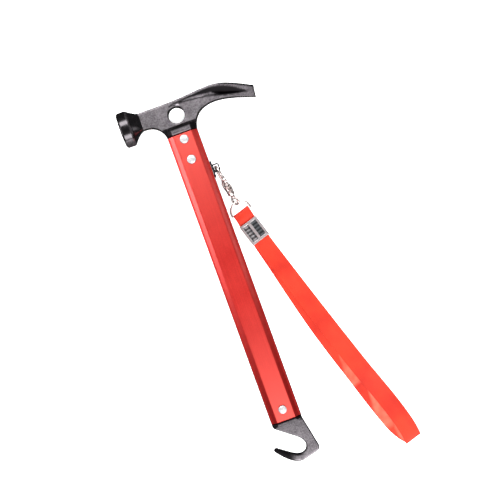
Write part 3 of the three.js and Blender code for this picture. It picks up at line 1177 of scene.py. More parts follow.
# ---------------------------------------------------------------- head
@dataclass
class Head:
    """The forging: striking disc, neck, cheek with its eye, curved claw, collar and tang.

    Attributes:
        handle: the handle whose section the collar continues.
        cheek: half thickness of the cheek.
        edge: radius of the forging's edges.
        face_x: place of the striking face.
        rim_x: where the disc ends and the neck starts.
        disc_y: middle of the disc.
        disc_radius: of the striking face.
        neck_x: where the neck leaves the cheek.
        top: upper edge of the cheek.
        low: lower edge of the cheek.
        eye: the round hole's middle and radius.
        tang: length inside the handle.
    """

    handle: Handle
    cheek: float = 5.6
    edge: float = 0.9
    face_x: float = -47.0
    rim_x: float = -38.4
    disc_y: float = 19.0
    disc_radius: float = 15.0
    neck_x: float = -28.6
    top: float = 27.7
    low: float = 13.2
    eye: Triple = (0.6, 15.7, 6.8)
    tang: float = 28.0

    def outline(self) -> Array:
        """Draws the cheek, claw, collar and tang from the front.

        Returns:
            The outline's points.
        """
        reach, top, low = self.handle.tang_width(), self.top, self.low
        drawn = Outline(-33.0, top).to(-3, top).bend((10, top), (22, 29.9), (34.1, 29.8))
        drawn.bend((46, 29.8), (57, 23.6), (69.0, 17.9)).to(67.5, 7.5)
        drawn.bend((56, 12.2), (45, 16.3), (34.1, 16.5)).bend((25, 16.4), (15, 13), (13, 0.0))
        drawn.to(reach, 0.0).to(reach, -self.tang).to(-reach, -self.tang).to(-reach, 0.0)
        drawn.to(-13, 0.0).bend((-13.8, 7), (-19, low), (-27.5, low)).to(-33.0, low)
        return drawn.loop()

    def leaf(self) -> tuple[Array, Array]:
        """Draws the hollow on the claw's flank.

        Returns:
            Its upper edge and its lower edge, both from left to right.
        """
        upper = Outline(-2.5, 24.2).bend((2.5, 25.3), (12, 26.4), (22, 27.0))
        upper.bend((32, 27.8), (40, 28.1), (50, 22.8)).bend((54.5, 20.2), (58, 17.6), (62.4, 14.4))
        lower = Outline(6.5, 24.2).bend((14, 24.0), (20, 23.4), (27, 22.3))
        lower.bend((36, 20.6), (40, 18.9), (46.5, 17.3)).bend((52, 16.2), (57, 15.4), (62.4, 14.4))
        return np.array(upper.points), np.array(lower.points)

    def half(self, x: Array, y: Array) -> Array:
        """Gives the forging's half thickness.

        Args:
            x: places across the hammer.
            y: places along it.

        Returns:
            The half thicknesses.
        """
        t = np.linspace(0, 1, 40)
        claw_x = 34 * (1 - t) ** 2 + 110 * t * (1 - t) + 70 * t**2
        claw_z = self.cheek * (1 - t) ** 2 + 10.4 * t * (1 - t) + 1.3 * t**2
        plain = np.interp(x, claw_x, claw_z)
        upper, lower = self.leaf()
        points = np.column_stack([x, y])
        in_leaf = inside(np.vstack([upper, lower[::-1]]), points)
        below_top = distance_to(upper, points, closed=False)
        above_low = distance_to(lower, points, closed=False)
        floor_x = [-2, 6, 15, 25, 34, 40, 50, 56, 62]
        floor = np.interp(x, floor_x, [0.3, 0.6, 0.95, 1.7, 2.8, 4.0, 3.4, 2.2, 0.4])
        lean = np.interp(x, [10, 25, 36, 44], [1.1, 0.95, 0.8, 0.62])
        depth = np.minimum(np.minimum(below_top * lean, above_low * 2.2), floor)
        plain = plain - np.where(in_leaf, depth, 0.0)
        step = fade(y, 4.9, 7.2)
        blend = step * step * (3 - 2 * step)
        body = plain * blend + self.handle.depth_at(x) * (1 - blend)
        body = body - 0.85 * np.clip(1.2 - y, 0, 1.2)
        down = fade(y, 0.0, -0.2)
        return body * (1 - down) + np.minimum(self.handle.tang_depth(x), body) * down

    def marks(self) -> list[Array]:
        """Lists the creases of the forging's faces.

        Returns:
            The creases as lines of points.
        """
        upper, lower = self.leaf()
        lines = [evened(upper, 0.5), evened(lower, 0.5)]
        x = np.arange(9.0, 61.5, 0.7)
        high, low = np.interp(x, *upper.T), np.interp(x, *lower.T)
        for share in (0.08, 0.16, 0.23, 0.32, 0.45, 0.6, 0.75, 0.88, 0.95):
            line = np.column_stack([x, low + (high - low) * share])
            lines.append(line[(high - low) * min(share, 1 - share) > 0.22])
        for y in (7.2, 6.6, 6.0, 5.5, 4.9, 2.5, 1.3, 1.1, 0.6, 0.0, -0.2):
            lines.append(straight((-12.95, y), (12.95, y), 0.8))
        for x in (-12.3, -8.0, 8.0, 12.3):
            lines.append(straight((x, 5.6), (x, 0.0), 0.6))
        return lines

    def neck(self) -> Solid:
        """Lofts the neck from the cheek's section to the round disc.

        Returns:
            The neck.
        """
        rings = []
        angles = np.linspace(0, 2 * math.pi, 96, endpoint=False)
        c, s = np.cos(angles), np.sin(angles)
        radius = self.disc_radius - 0.6
        for u in [-0.25, *np.linspace(0, 1, 18), 1.15]:
            v = min(max(u, 0.0), 1.0)
            top = self.top + (self.disc_y + radius - self.top) * v**1.35
            low = self.low - (self.low - self.disc_y + radius) * v**1.7
            deep = self.cheek + (radius - self.cheek) * v**1.2
            power = 2 / (2 + 7 * (1 - v) ** 2.5)
            size = 0.88 if u < 0 else 1.0
            y = (top + low) / 2 + (top - low) / 2 * np.sign(c) * np.abs(c) ** power * size
            z = deep * np.sign(s) * np.abs(s) ** power * size
            x = self.neck_x + (self.rim_x - self.neck_x) * u
            rings.append(np.column_stack([np.full(len(angles), x), y, z + MID_Z]))
        return loft(rings)

    def disc(self) -> Solid:
        """Turns the striking disc, with a chamfered rim and a slightly crowned face.

        Returns:
            The disc.
        """
        r = self.disc_radius
        front = [(0.0, r), (0.0, r - 6.0), (0.08, 2.6), (0.18, 1.5), (0.4, 1.05), (1.1, 0.3), (1.6, 0.05), (2.1, 0.0)]
        back = [(-1.2, 0.0), (-0.6, 0.12), (-0.15, 0.45), (0.1, 1.0), (0.1, r)]
        profile = [(self.face_x + x, r - drop) for x, drop in front]
        profile += [(self.rim_x + x, r - drop) for x, drop in back]
        return turned(profile, 96).moved(Matrix.Translation((0, self.disc_y, MID_Z)))

    def painted_light(self, points: Array) -> Array:
        """Gives where shade is painted: the claw's hollow, creases and upper edge, and the collar's shoulder.

        The disc's rim and underside get a painted highlight, below zero.

        Args:
            points: places in the hammer frame.

        Returns:
            The amounts.
        """
        x, y = points[:, 0], points[:, 1]
        upper, lower = self.leaf()
        high = np.interp(x, *upper.T)
        floor = np.interp(x, [8, 20.5, 28.8, 34, 37, 40], [25.7, 25.5, 25.0, 24.0, 21.6, 19.0])
        low = np.where(x < 40, floor, np.interp(x, *lower.T))
        claw = np.array(Outline(38, 29.6).bend((48, 28.9), (58, 22.9), (69.0, 17.9)).points)
        to_claw, to_low, to_high = (
            distance_to(line, points[:, :2], closed=False) for line in (claw, lower, upper)
        )
        # painted shade in the claw's hollow, along its creases and on the step from the collar to the cheek
        band = fade(high - y, -0.3, 0.1) * fade(y - low, -0.3, 0.3)
        amount = band * fade(x, 5.5, 10.5) * (x < 62.8)
        amount = np.maximum(amount, fade(to_claw, 1.9, 0.9) * fade(x, 40, 46))
        creases = fade(to_low, 0.88, 0.08) * (x < 46)
        start = fade(to_high, 0.99, 0.09) * (x < 12)
        shoulder = (y < 7.4) & ((y > 4.8) | (np.abs(x) > 8.3)) & (np.abs(x) < 16)
        amount = np.max([amount, 0.85 * creases, 0.75 * start, 0.9 * shoulder], axis=0)
        # painted highlight on the disc's underside and on a ring at its rim
        disc = (x < self.rim_x + 0.3) & (x > self.face_x + 0.9)
        under = fade(y, 9.3, 8.6) * disc
        rim = 0.55 * ((np.abs(x - self.rim_x) < 0.7) & (y > 12)) + under
        return amount - np.clip(rim, 0, 1)

    def build(self) -> None:
        """Makes the forging as one solid."""
        x, y, r = self.eye
        eye = circle(x, y, r, 84)
        plate = Plate(self.outline(), self.half, self.edge, step=1.25, holes=[eye], marks=self.marks()).solid()
        piece = make("hammer_forging", plate.moved(Matrix.Translation((0, 0, MID_Z))))
        worked(piece, [self.neck(), self.disc()], Cut.UNION)
        worked(piece, self.handle.rivet_bores(self.handle.rivets[:2]), Cut.DIFFERENCE, DRILLED_ANGLE)
        painted_light(piece, self.painted_light)
        settle(piece, ForgedBlack(), Body.HAMMER, ["hammer_head"])


@dataclass
class TailHook:
    """The forged pull hook at the handle's lower end.

    Attributes:
        handle: the handle that it plugs into.
        plate: half thickness of the hook.
        collar_y: where the full section ends.
        bevel_y: where the bevel reaches the plate.
        tang: length inside the handle.
    """

    handle: Handle
    plate: float = 2.5
    collar_y: float = -253.4
    bevel_y: float = -255.4
    tang: float = 21.0

    @property
    def top(self) -> float:
        """Where the collar meets the tube."""
        return -self.handle.length - 2 * GAP

    def outline(self) -> Array:
        """Draws the collar, tang and hook from the front.

        Returns:
            The outline's points.
        """
        top, reach = self.top, self.handle.tang_width()
        drawn = Outline(-13, top).to(-12.9, -253).to(-12.2, -255.3).to(3.6, -267.2)
        drawn.bend((9.4, -271.5), (9.9, -278.6), (4.7, -280.7))
        drawn.bend((0.6, -282.3), (-3.2, -279.6), (-8.5, -275.9))
        drawn.to(-15.4, -270.9).bend((-17.2, -269.6), (-19.6, -271.7), (-18, -273.9))
        drawn.bend((-12, -281), (-6.5, -287.8), (1.5, -287.5)).to(15.2, -284.2)
        drawn.bend((17.4, -283.6), (18.6, -282.2), (18.1, -279.4)).to(12.6, -253).to(13, top)
        drawn.to(reach, top).to(reach, top + self.tang).to(-reach, top + self.tang).to(-reach, top)
        return drawn.loop()

    def half(self, x: Array, y: Array) -> Array:
        """Gives the hook's half thickness.

        Args:
            x: places across the hammer.
            y: places along it.

        Returns:
            The half thicknesses.
        """
        points = np.column_stack([x, y])
        share = fade(x, 1.0, -6.0) * (y < -266)
        round_r = 2.35
        depth = np.minimum(distance_to(self.outline(), points), round_r)
        round_off = round_r - np.sqrt(round_r**2 - (round_r - depth) ** 2)
        plate = self.plate - share * (0.25 + 0.62 * round_off)
        share = fade(y, self.bevel_y, self.collar_y)
        full = self.handle.depth_at(x)
        low = np.minimum(full, self.plate)
        body = np.where(y > self.bevel_y, low + (np.minimum(full, 8.4) - low) * share, plate)
        body = body - 0.85 * np.clip(y - self.top + 1.2, 0, 1.2)
        up = fade(y, self.top, self.top + 0.2)
        return body * (1 - up) + np.minimum(self.handle.tang_depth(x), body) * up

    def painted_light(self, points: Array) -> Array:
        """Gives where shade is painted: the free arm, the inner edge where it starts, the rim and the seams.

        Args:
            points: places in the hammer frame.

        Returns:
            The amounts.
        """
        x, y = points[:, 0], points[:, 1]
        # painted shade on the tapered free arm, the bight's inner edge, the rounded rim and the gaps at the collar
        arm = fade(x, -2.0, -7.5) * (y < -266)
        bight = np.array(Outline(4.7, -280.7).bend((0.6, -282.3), (-3.2, -279.6), (-8.5, -275.9)).points)
        near = fade(distance_to(bight, points[:, :2], closed=False), 2.3, 1.3) * fade(x, 4.5, 1.5)
        rim = fade(distance_to(self.outline(), points[:, :2]), 0.935, 0.085) * (y > -282.6)
        down = self.top - y
        seam = 1.0 * (down < 1.25) + 0.7 * (np.abs(down - 3.1) < 0.4) * (np.abs(x) < 11)
        return np.clip(np.max([arm, near, 0.9 * rim, seam], axis=0), 0, 1)

    def build(self) -> None:
        """Makes the hook as one solid."""
        rows = [self.top + 0.2, *(self.top - drop for drop in (0.0, 0.6, 1.1, 1.3, 2.6, 2.9, 3.1, 3.3))]
        rows += [self.collar_y, -254.4, self.bevel_y, -256.0]
        marks = [straight((-12.9, y), (12.9, y), 0.8) for y in rows]
        marks += [straight((x, self.top), (x, self.bevel_y), 0.6) for x in (-12.3, -8.0, 8.0, 12.3)]
        plate = Plate(self.outline(), self.half, 1.0, step=1.2, marks=marks).solid()
        piece = make("tail_hook_forging", plate.moved(Matrix.Translation((0, 0, MID_Z))))
        worked(piece, self.handle.rivet_bores(self.handle.rivets[2:]), Cut.DIFFERENCE, DRILLED_ANGLE)
        painted_light(piece, self.painted_light)
        settle(piece, ForgedBlack(), Body.HAMMER, ["tail_hook"])


# ---------------------------------------------------------------- lanyard
@dataclass
class Eyelet:
    """The black bracket on the handle's side, with a flat eye.

    Attributes:
        y: its middle along the handle.
        inner: where its plate starts in X.
        thickness: of the plate.
        size: half length and half width of the plate.
        reach: how far the eye stands out.
    """

    y: float = -36.3
    inner: float = 13.1
    thickness: float = 1.2
    size: Point = (7.15, 3.2)
    reach: float = 5.3

    def build(self) -> None:
        """Makes the bracket with its eye and its two rivet tangs."""
        y, z = self.size
        base = Outline(1 - y, -z, 0.4).to(y - 1, -z).arc(y - 1, 1 - z, 1, -90, 0)
        base.to(y, z - 1).arc(y - 1, z - 1, 1, 0, 90).to(1 - y, z)
        base.arc(1 - y, z - 1, 1, 90, 180).to(-y, 1 - z).arc(1 - y, 1 - z, 1, 180, 270)
        plate = Plate(base.loop(), even(self.thickness / 2), 0.35, step=0.7).solid()
        middle = self.inner + self.thickness / 2
        stand = Matrix(((0, 0, 1, middle), (1, 0, 0, self.y), (0, 1, 0, MID_Z), (0, 0, 0, 1)))
        piece = make("lanyard_bracket", plate.moved(stand))
        outer = self.inner + self.thickness
        tab = Outline(outer - 0.6, -32.2, 0.35).to(outer + self.reach - 2, -32.2)
        tab.arc(outer + self.reach - 2, -34.2, 2, 90, 0).to(outer + self.reach, -37.5)
        tab.arc(outer + self.reach - 2, -37.5, 2, 0, -90).to(outer - 0.6, -39.5)
        hole = Outline(outer + 0.5, -33.9, 0.35).to(outer + 0.5, -36.8).arc(outer + 1.1, -36.8, 0.6, 180, 270)
        hole.to(outer + 3.2, -37.4).arc(outer + 3.6, -36.8, 0.6, 270, 360).to(outer + 4.2, -33.9)
        hole.arc(outer + 3.6, -33.9, 0.6, 0, 90).to(outer + 1.1, -33.3).arc(outer + 1.1, -33.9, 0.6, 90, 180)
        eye = Plate(tab.loop(), even(0.7), 0.3, step=0.6, holes=[hole.loop()]).solid()
        tools = [eye.moved(Matrix.Translation((0, 0, MID_Z)))]
        for side in (-1, 1):
            tang = turned([(self.inner - 3.0, 0.8), (self.inner - 2.8, 1.0), (self.inner + 0.5, 1.0)], 20)
            tools.append(tang.moved(Matrix.Translation((0, self.y + side * 5.2, MID_Z))))
        worked(piece, tools, Cut.UNION)
        settle(piece, BlackTrim(), Body.HAMMER, ["lanyard_eyelet"])


@dataclass
class SnapClasp:
    """The swivel snap clasp: hook body, gate, pin, spring and swivel eye.

    Attributes:
        nose: where its nose is in the hammer frame.
        heading: its direction in degrees from -Y.
        slope: how far it dips towards the ring, in degrees.
        roll: how far the hook is rolled from upright, in degrees.
        swivel_roll: the same for the swivel eye.
        hook: outer radius of the hook.
        bar: width of the hook's bar.
        pivot: the gate pin's place.
    """

    nose: Point = (16.3, -34.2)
    heading: float = 10.2
    slope: float = 18.5
    roll: float = 8.0
    swivel_roll: float = 38.0
    hook: float = 6.0
    bar: float = 2.2
    pivot: Point = (20.2, 4.4)

    def place(self, roll: float) -> Matrix:
        """Gives the clasp's own frame.

        Args:
            roll: how far it is rolled, in degrees.

        Returns:
            The matrix from that frame to the hammer frame.
        """
        height = MID_Z + self.bar / 2 * math.sin(math.radians(self.slope))
        frame_at = Matrix.Translation((*self.nose, height))
        frame_at @= Matrix.Rotation(math.radians(self.heading - 90), 4, "Z")
        frame_at @= Matrix.Rotation(math.radians(self.slope), 4, "Y")
        return frame_at @ Matrix.Rotation(math.radians(90 - roll), 4, "X")

    def body_half(self, x: Array, y: Array) -> Array:
        """Gives the hook body's half thickness, from the thin wire to the thick cheeks."""
        return 1.0 + 1.6 * fade(x, 14.8, 18.0) ** 1.5

    def body(self) -> None:
        """Makes the hook body with its barrel and the gate's slot."""
        r, t = self.hook, self.bar
        drawn = Outline(7.2, r, 0.4).to(r, r).arc(r, 0, r, 90, 270).to(18.4, -r)
        drawn.bend((21.5, -r), (23.4, -5.2), (25.0, -3.0)).to(25.4, -2.6).to(25.4, 2.6).to(25.0, 3.0)
        drawn.bend((24.3, 4.6), (24.0, 6.0), (21.6, 6.4)).to(19.4, 6.4)
        drawn.bend((18.6, 6.2), (18.1, 4.2), (18.0, 3.0)).bend((18.2, 2.4), (20.6, 2.6), (21.4, 2.0))
        drawn.to(21.4, -2.4).bend((21.2, -3.4), (20.0, -r + t), (18.4, -r + t))
        drawn.to(r, -r + t).arc(r, 0, r - t, 270, 90).to(7.2, r - t).arc(7.2, r - t / 2, t / 2, -90, 90)
        plate = Plate(drawn.loop(), self.body_half, 0.85, step=0.8).solid()
        piece = make("clasp_hook_body", plate.moved(self.place(self.roll)))
        barrel = [(23.8, 0.0), (23.8, 2.2), (24.4, 2.75), (25.2, 3.0), (26.2, 3.0), (26.5, 2.75), (26.8, 3.0)]
        barrel += [(27.9, 3.0), (28.4, 2.7), (28.6, 2.2), (28.6, 0.0)]
        worked(piece, [turned(barrel, 40).moved(self.place(self.roll))], Cut.UNION)
        slot = Outline(17.0, 2.0).to(22.6, 2.0).to(22.6, 12).to(17.0, 12).loop()
        tools = [Plate(slot, even(1.65), 0.02, step=2.0).solid()]
        tools.append(turned([(20.0, 1.45), (29.5, 1.45)], 28))
        upright = Matrix.Translation((*self.pivot, 0)) @ UPRIGHT
        tools.append(turned([(-5, 0.85), (5, 0.85)], 24).moved(upright))
        worked(piece, [tool.moved(self.place(self.roll)) for tool in tools], Cut.DIFFERENCE)
        settle(piece, BrightMetal(), Body.CLASP, ["clasp_body"])

    def gate(self) -> None:
        """Makes the thumb gate with its curled tab."""
        r, t = self.hook, self.bar
        x0, y0 = self.pivot
        drawn = Outline(8.8, r - 0.2, 0.35).to(8.8, r - t + 0.2).to(x0 - 2.4, r - t - 0.2)
        drawn.arc(x0, y0, 1.75, 205, 395).to(x0 - 0.5, r + 0.5).to(x0 - 3.6, r + 0.2)
        drawn.bend((x0 - 4.6, r + 1.9), (x0 - 5.6, r + 2.9), (x0 - 7.2, r + 2.6))
        drawn.bend((x0 - 7.2, r + 1.4), (x0 - 7.6, r + 0.2), (x0 - 9, r - 0.2))
        plate = Plate(drawn.loop(), even(1.3), 0.4, step=0.6).solid()
        piece = make("clasp_thumb_gate", plate.moved(self.place(self.roll)))
        upright = Matrix.Translation((x0, y0, 0)) @ UPRIGHT
        slot = Outline(17.6, -2.0).to(24.6, -2.0).to(24.6, 11).to(17.6, 11).loop()
        tools = [turned([(-5, 1.0), (5, 1.0)], 24).moved(upright)]
        tools.append(Plate(slot, even(0.75), 0.02, step=2.0).solid())
        worked(piece, [tool.moved(self.place(self.roll)) for tool in tools], Cut.DIFFERENCE)
        settle(piece, BrightMetal(), Body.GATE, ["clasp_gate"])

    def pin_and_spring(self) -> None:
        """Makes the gate's pin with upset ends, and the coil round it."""
        x0, y0 = self.pivot
        upright = Matrix.Translation((x0, y0, 0)) @ UPRIGHT
        ends = [(2.35, 0.72), (2.5, 0.72), (2.6, 0.55), (2.66, 0.3), (2.68, 0.0)]
        pin = turned([(-x, r) for x, r in reversed(ends)] + ends, 28)
        piece = make("gate_pin", pin.moved(self.place(self.roll) @ upright))
        settle(piece, BrightMetal(), Body.CLASP, ["gate_pivot_pin"])
        t = np.linspace(0, 1, 90)
        angle = 4 * math.pi * t
        path = np.column_stack([x0 + 1.25 * np.cos(angle), y0 + 1.25 * np.sin(angle), 0.66 * t - 0.33])
        piece = make("gate_coil_spring", swept(path, 0.15, 10).moved(self.place(self.roll)))
        settle(piece, SpringSteel(), Body.CLASP, ["gate_spring"])

    def swivel(self) -> None:
        """Makes the swivel eye with its stem and its headed end."""
        t = np.linspace(0, 2 * math.pi, 72, endpoint=False)
        path = np.column_stack([34.8 + 3.2 * np.cos(t), 3.2 * np.sin(t), np.zeros(72)])
        place = self.place(self.swivel_roll)
        piece = make("swivel_eye_forging", swept(path, 0.95, 20, around=True).moved(place))
        stem = [(20.3, 0.0), (20.3, 1.6), (20.5, 1.85), (20.9, 1.85), (21.1, 1.6), (21.1, 1.15), (29.2, 1.15)]
        stem += [(29.6, 1.5), (30.4, 1.75), (31.2, 1.6), (32.0, 1.1), (32.2, 0.0)]
        worked(piece, [turned(stem, 36).moved(place)], Cut.UNION)
        settle(piece, BrightMetal(), Body.SWIVEL, ["swivel_eye"])


@dataclass
class Crimp:
    """The pressed sleeve that holds the loop shut, with two ribbed windows.

    Attributes:
        at: the frame on its middle.
        length: along the tape.
        half: half of its width.
        low: height of its lower face.
        high: height of its upper face.
        wall: thickness of the sheet.
        radius: of its corners.
        window: the windows' middle and half width across, and their half length.
        depth: how deep they are pressed.
    """

    at: Matrix
    length: float = 18.8
    half: float = 8.35
    low: float = -2.27
    high: float = 1.42
    wall: float = 0.5
    radius: float = 0.85
    window: Triple = (3.75, 2.75, 7.6)
    depth: float = 0.34

    def section(self, inset: float) -> Array:
        """Draws the sleeve's section in Y and Z.

        Args:
            inset: how far it is drawn in.

        Returns:
            The section's points, always the same number.
        """
        w, h, r = self.half - inset, (self.high - self.low) / 2 - inset, max(self.radius - inset, 0.25)
        points = []
        for cy, cz, angle in ((1, 1, 0), (-1, 1, 90), (-1, -1, 180), (1, -1, 270)):
            for a in np.radians(np.linspace(angle, angle + 90, 7)):
                points.append((cy * (w - r) + r * math.cos(a), cz * (h - r) + r * math.sin(a)))
            if cz == cy:
                points += [(y * cz, h * cz) for y in np.linspace(w - r, r - w, 62)[1:-1]]
        return np.array(points) + (0.0, (self.low + self.high) / 2)

    def opening(self, y: Array) -> Array:
        """Tells which places across the sleeve are in a window, from 0 to 1."""
        middle, half, _ = self.window
        return fade(np.abs(np.abs(y) - middle), half, half - 0.35)

    def pressed(self, x: float, section: Array) -> Array:
        """Presses the windows and their ribs into the upper face.

        Args:
            x: place along the sleeve.
            section: the plain section.

        Returns:
            The pressed section.
        """
        y, z = section[:, 0], section[:, 1].copy()
        window = self.opening(y) * fade(abs(x), self.window[2], self.window[2] - 0.4)
        rib = fade(abs((x + 1.5) % 3.0 - 1.5), 0.55, 0.2)
        z -= np.where(z > self.high - 0.02, self.depth * window * (1 - 0.65 * rib), 0.0)
        return np.column_stack([y, z])

    def painted_light(self, points: Array) -> Array:
        """Paints shade on the windows' floors, more in the right-hand one.

        Args:
            points: places in the hammer frame.

        Returns:
            The amounts.
        """
        back = np.array(self.at.inverted())
        x, y, z = (points @ back[:3, :3].T + back[:3, 3]).T
        floor = self.opening(y) * (np.abs(x) < self.window[2] - 0.1) * (z > self.high - 0.6)
        return floor * np.where(y > 0, 1.0, 0.82 + 0.18 * fade(np.abs(y + 3.9), 0.72, 1.92))

    def build(self) -> bpy.types.Object:
        """Makes the sleeve.

        Returns:
            The sleeve.
        """
        end = self.length / 2
        xs = [-end, 0.2 - end, *np.linspace(0.5 - end, end - 0.5, 90), end - 0.2, end]
        flared = self.section(0.14)
        rings = [(x, flared if abs(x) == end else self.section(0.0)) for x in xs]
        rings = [(x, self.pressed(x, flat)) for x, flat in rings]
        rings += [(x, self.section(self.wall)) for x in (xs[-1], xs[-2], 0.0, xs[1], xs[0])]
        rings = [np.column_stack([np.full(len(flat), x), flat]) for x, flat in rings]
        piece = make("lanyard_crimp", loft(rings, around=True).moved(self.at))
        painted_light(piece, self.painted_light)
        return settle(piece, StampedMetal(), Body.STRAP, ["strap_crimp"])


@dataclass
class Lanyard:
    """The D-ring, the wrist loop of woven tape and its crimp.

    Attributes:
        bar: middle of the ring's straight bar in the hammer frame.
        bar_z: its height.
        ring_heading: direction of the ring in degrees from -Y.
        ring_tilt: how far the ring leans, in degrees.
        heading: direction of the strap in degrees from -Y.
        width: of the tape.
        thick: of the tape.
        cut: length that the tape is cut to; not used.
        crimp: the crimp's middle in the strap's frame.
    """

    bar: Point = (24.0, -77.3)
    bar_z: float = 2.3
    ring_heading: float = 10.0
    ring_tilt: float = 9.9
    heading: float = 17.2
    width: float = 15.0
    thick: float = 0.65
    cut: float = 498.8
    crimp: Point = (18.7, -1.0)

    def place(self, heading: float, tilt: float) -> Matrix:
        """Gives a frame on the ring's bar.

        Args:
            heading: of its X axis, in degrees from -Y.
            tilt: how far it dips, in degrees.

        Returns:
            The matrix from that frame to the hammer frame.
        """
        frame_at = Matrix.Translation((*self.bar, self.bar_z))
        frame_at @= Matrix.Rotation(math.radians(heading - 90), 4, "Z")
        return frame_at @ Matrix.Rotation(math.radians(tilt), 4, "Y")

    def ring(self) -> None:
        """Makes the D-ring from one bent wire."""
        radius, drop, corner = 8.7, 1.2, 0.9
        drawn = Outline(0, -radius + corner, 0.5).to(0, radius - corner)
        drawn.arc(-corner, radius - corner, corner, 0, 90).to(-drop, radius)
        drawn.arc(-drop, 0, radius, 90, 270).to(-corner, -radius)
        drawn.arc(-corner, -radius + corner, corner, -90, 0)
        flat = drawn.loop()
        path = np.column_stack([flat, np.zeros(len(flat))])
        wire = swept(path, 0.8, 20, around=True).moved(self.place(self.ring_heading, self.ring_tilt))
        settle(make("lanyard_d_ring", wire), BrightMetal(), Body.RING, ["d_ring"])

    def tape_path(self) -> Array:
        """Lays the tape's middle line: out of the crimp, round the bar, to the far fold and back.

        Returns:
            Points along the tape in the strap's frame.
        """
        shift, bend = -1.0, 1.35
        near, far = (np.radians(np.arange(*angles, 20)) for angles in ((60, 301), (-90, 91)))
        points = [(26.6, shift, -0.37), (18, shift, -0.37), (10, shift, -0.35), (4.8, shift * 0.6, 0.75)]
        points += [(bend * math.cos(a), shift * 0.4, bend * math.sin(a)) for a in near]
        points += [(4.8, shift * 0.6, -1.35), (9.2, shift, -1.1), (18, shift, -1.08), (28.5, shift - 0.4, -1.1)]
        points += [(36, -1.9, -1.5), (50, -2.6, -1.86), (79, -4.5, -1.87), (112, -6.1, -1.7), (140, -6.4, -1.86)]
        points += [(165, -6.1, -1.6), (190, -6.0, -1.86), (209, -5.5, -1.87), (222, -4.5, -1.87), (232, -2.0, -1.87)]
        points += [(236.6 + bend * math.cos(a), 0.0, bend * math.sin(a) - 0.52) for a in far]
        points += [(232, 1.0, 1.0), (222, 2.0, 0.55), (205, 2.3, -0.5), (188, 1.8, -0.9), (165, 0.7, -0.2)]
        points += [(140, 0.1, -0.9), (112, -0.4, -0.6), (79, -0.8, -0.85), (55, -1.0, -0.3), (38, -1.1, -0.35)]
        points += [(28.5, -1.1, 0.2), (18, shift, 0.34), (11, shift, 0.34)]
        return self.smoothed(np.array(points))

    @staticmethod
    def smoothed(points: Array) -> Array:
        """Runs a smooth curve through points.

        Args:
            points: what the curve passes through.

        Returns:
            Close points along it.
        """
        ends = np.vstack([2 * points[0] - points[1], points, 2 * points[-1] - points[-2]])
        curve = []
        for p0, p1, p2, p3 in zip(ends, ends[1:], ends[2:], ends[3:]):
            gaps = [max(np.linalg.norm(b - a), 1e-6) ** 0.5 for a, b in ((p0, p1), (p1, p2), (p2, p3))]
            m1 = (p1 - p0) / gaps[0] - (p2 - p0) / (gaps[0] + gaps[1]) + (p2 - p1) / gaps[1]
            m2 = (p2 - p1) / gaps[1] - (p3 - p1) / (gaps[1] + gaps[2]) + (p3 - p2) / gaps[2]
            m1, m2 = m1 * gaps[1], m2 * gaps[1]
            count = max(3, int(np.linalg.norm(p2 - p1) / 0.9))
            for t in np.linspace(0, 1, count, endpoint=False):
                h = (2 * t**3 - 3 * t**2 + 1, t**3 - 2 * t**2 + t, -2 * t**3 + 3 * t**2, t**3 - t**2)
                curve.append(h[0] * p1 + h[1] * m1 + h[2] * p2 + h[3] * m2)
        curve.append(points[-1])
        return np.array(curve)

    def tape_section(self) -> Array:
        """Draws the tape's section: flat faces, rounded selvedges with a raised cord.

        Returns:
            Places across the tape and through it.
        """
        half, t = self.width / 2, self.thick / 2
        across = np.linspace(-half + t, half - t, 22)
        swell = t * (0.86 + 0.14 * np.clip((np.abs(across) - half + 1.5) / 1.0, 0, 1))
        top = np.column_stack([across, swell])
        side = [(half - t + t * math.cos(a), t * math.sin(a)) for a in np.radians([60, 30, 0, -30, -60])]
        other = [(-x, -z) for x, z in side]
        return np.vstack([top, side, np.column_stack([across[::-1], -swell[::-1]]), other])

    def tape(self) -> bpy.types.Object:
        """Makes the wrist loop as one band of tape.

        Returns:
            The loop.
        """
        path = self.tape_path()
        section = self.tape_section()
        along = np.gradient(path, axis=0)
        flat = along * (1, 0, 1)
        flat /= np.linalg.norm(flat, axis=1)[:, None]
        up = np.column_stack([-flat[:, 2], np.zeros(len(path)), flat[:, 0]])
        lengths = np.concatenate([[0], np.cumsum(np.linalg.norm(np.diff(path, axis=0), axis=1))])
        side = np.array([0.0, 1.0, 0.0])
        rings, tape = [], []
        for p, normal, length in zip(path, up, lengths):
            rings.append(p + np.outer(section[:, 0], side) + np.outer(section[:, 1], normal))
            tape.append(np.column_stack([np.full(len(section), length), section[:, 0], section[:, 1]]))
        band = loft(rings)
        band.tape = np.vstack(tape)
        LOG.info("tape is %.1f mm long", lengths[-1])
        piece = make("wrist_loop_tape", band.moved(self.place(self.heading, 0)), math.radians(60))
        return settle(piece, WovenTape(), Body.STRAP, ["wrist_strap"])

    def build(self) -> None:
        self.ring()
        tape = self.tape()
        middle = Matrix.Translation((*self.crimp, 0))
        crimp = Crimp(self.place(self.heading, 0) @ middle).build()


# ---------------------------------------------------------------- studio
@dataclass(frozen=True)
class SoftBox:
    """A large soft light.

    Attributes:
        name: its name.
        at: where it hangs, in metres.
        aim: what it points at, in metres.
        size: width and height in metres.
        power: in watts.
    """

    name: str
    at: Triple
    aim: Triple
    size: Point
    power: float

    def build(self) -> None:
        """Hangs the light, unseen by the camera."""
        light = bpy.data.lights.new(self.name, "AREA")
        light.shape = "RECTANGLE"
        light.size, light.size_y = self.size
        light.energy = self.power
        lamp = bpy.data.objects.new(self.name, light)
        lamp.location = self.at
        lamp.rotation_euler = (Vector(self.aim) - Vector(self.at)).to_track_quat("-Z", "Y").to_euler()
        lamp.visible_camera = False
        bpy.context.scene.collection.objects.link(lamp)


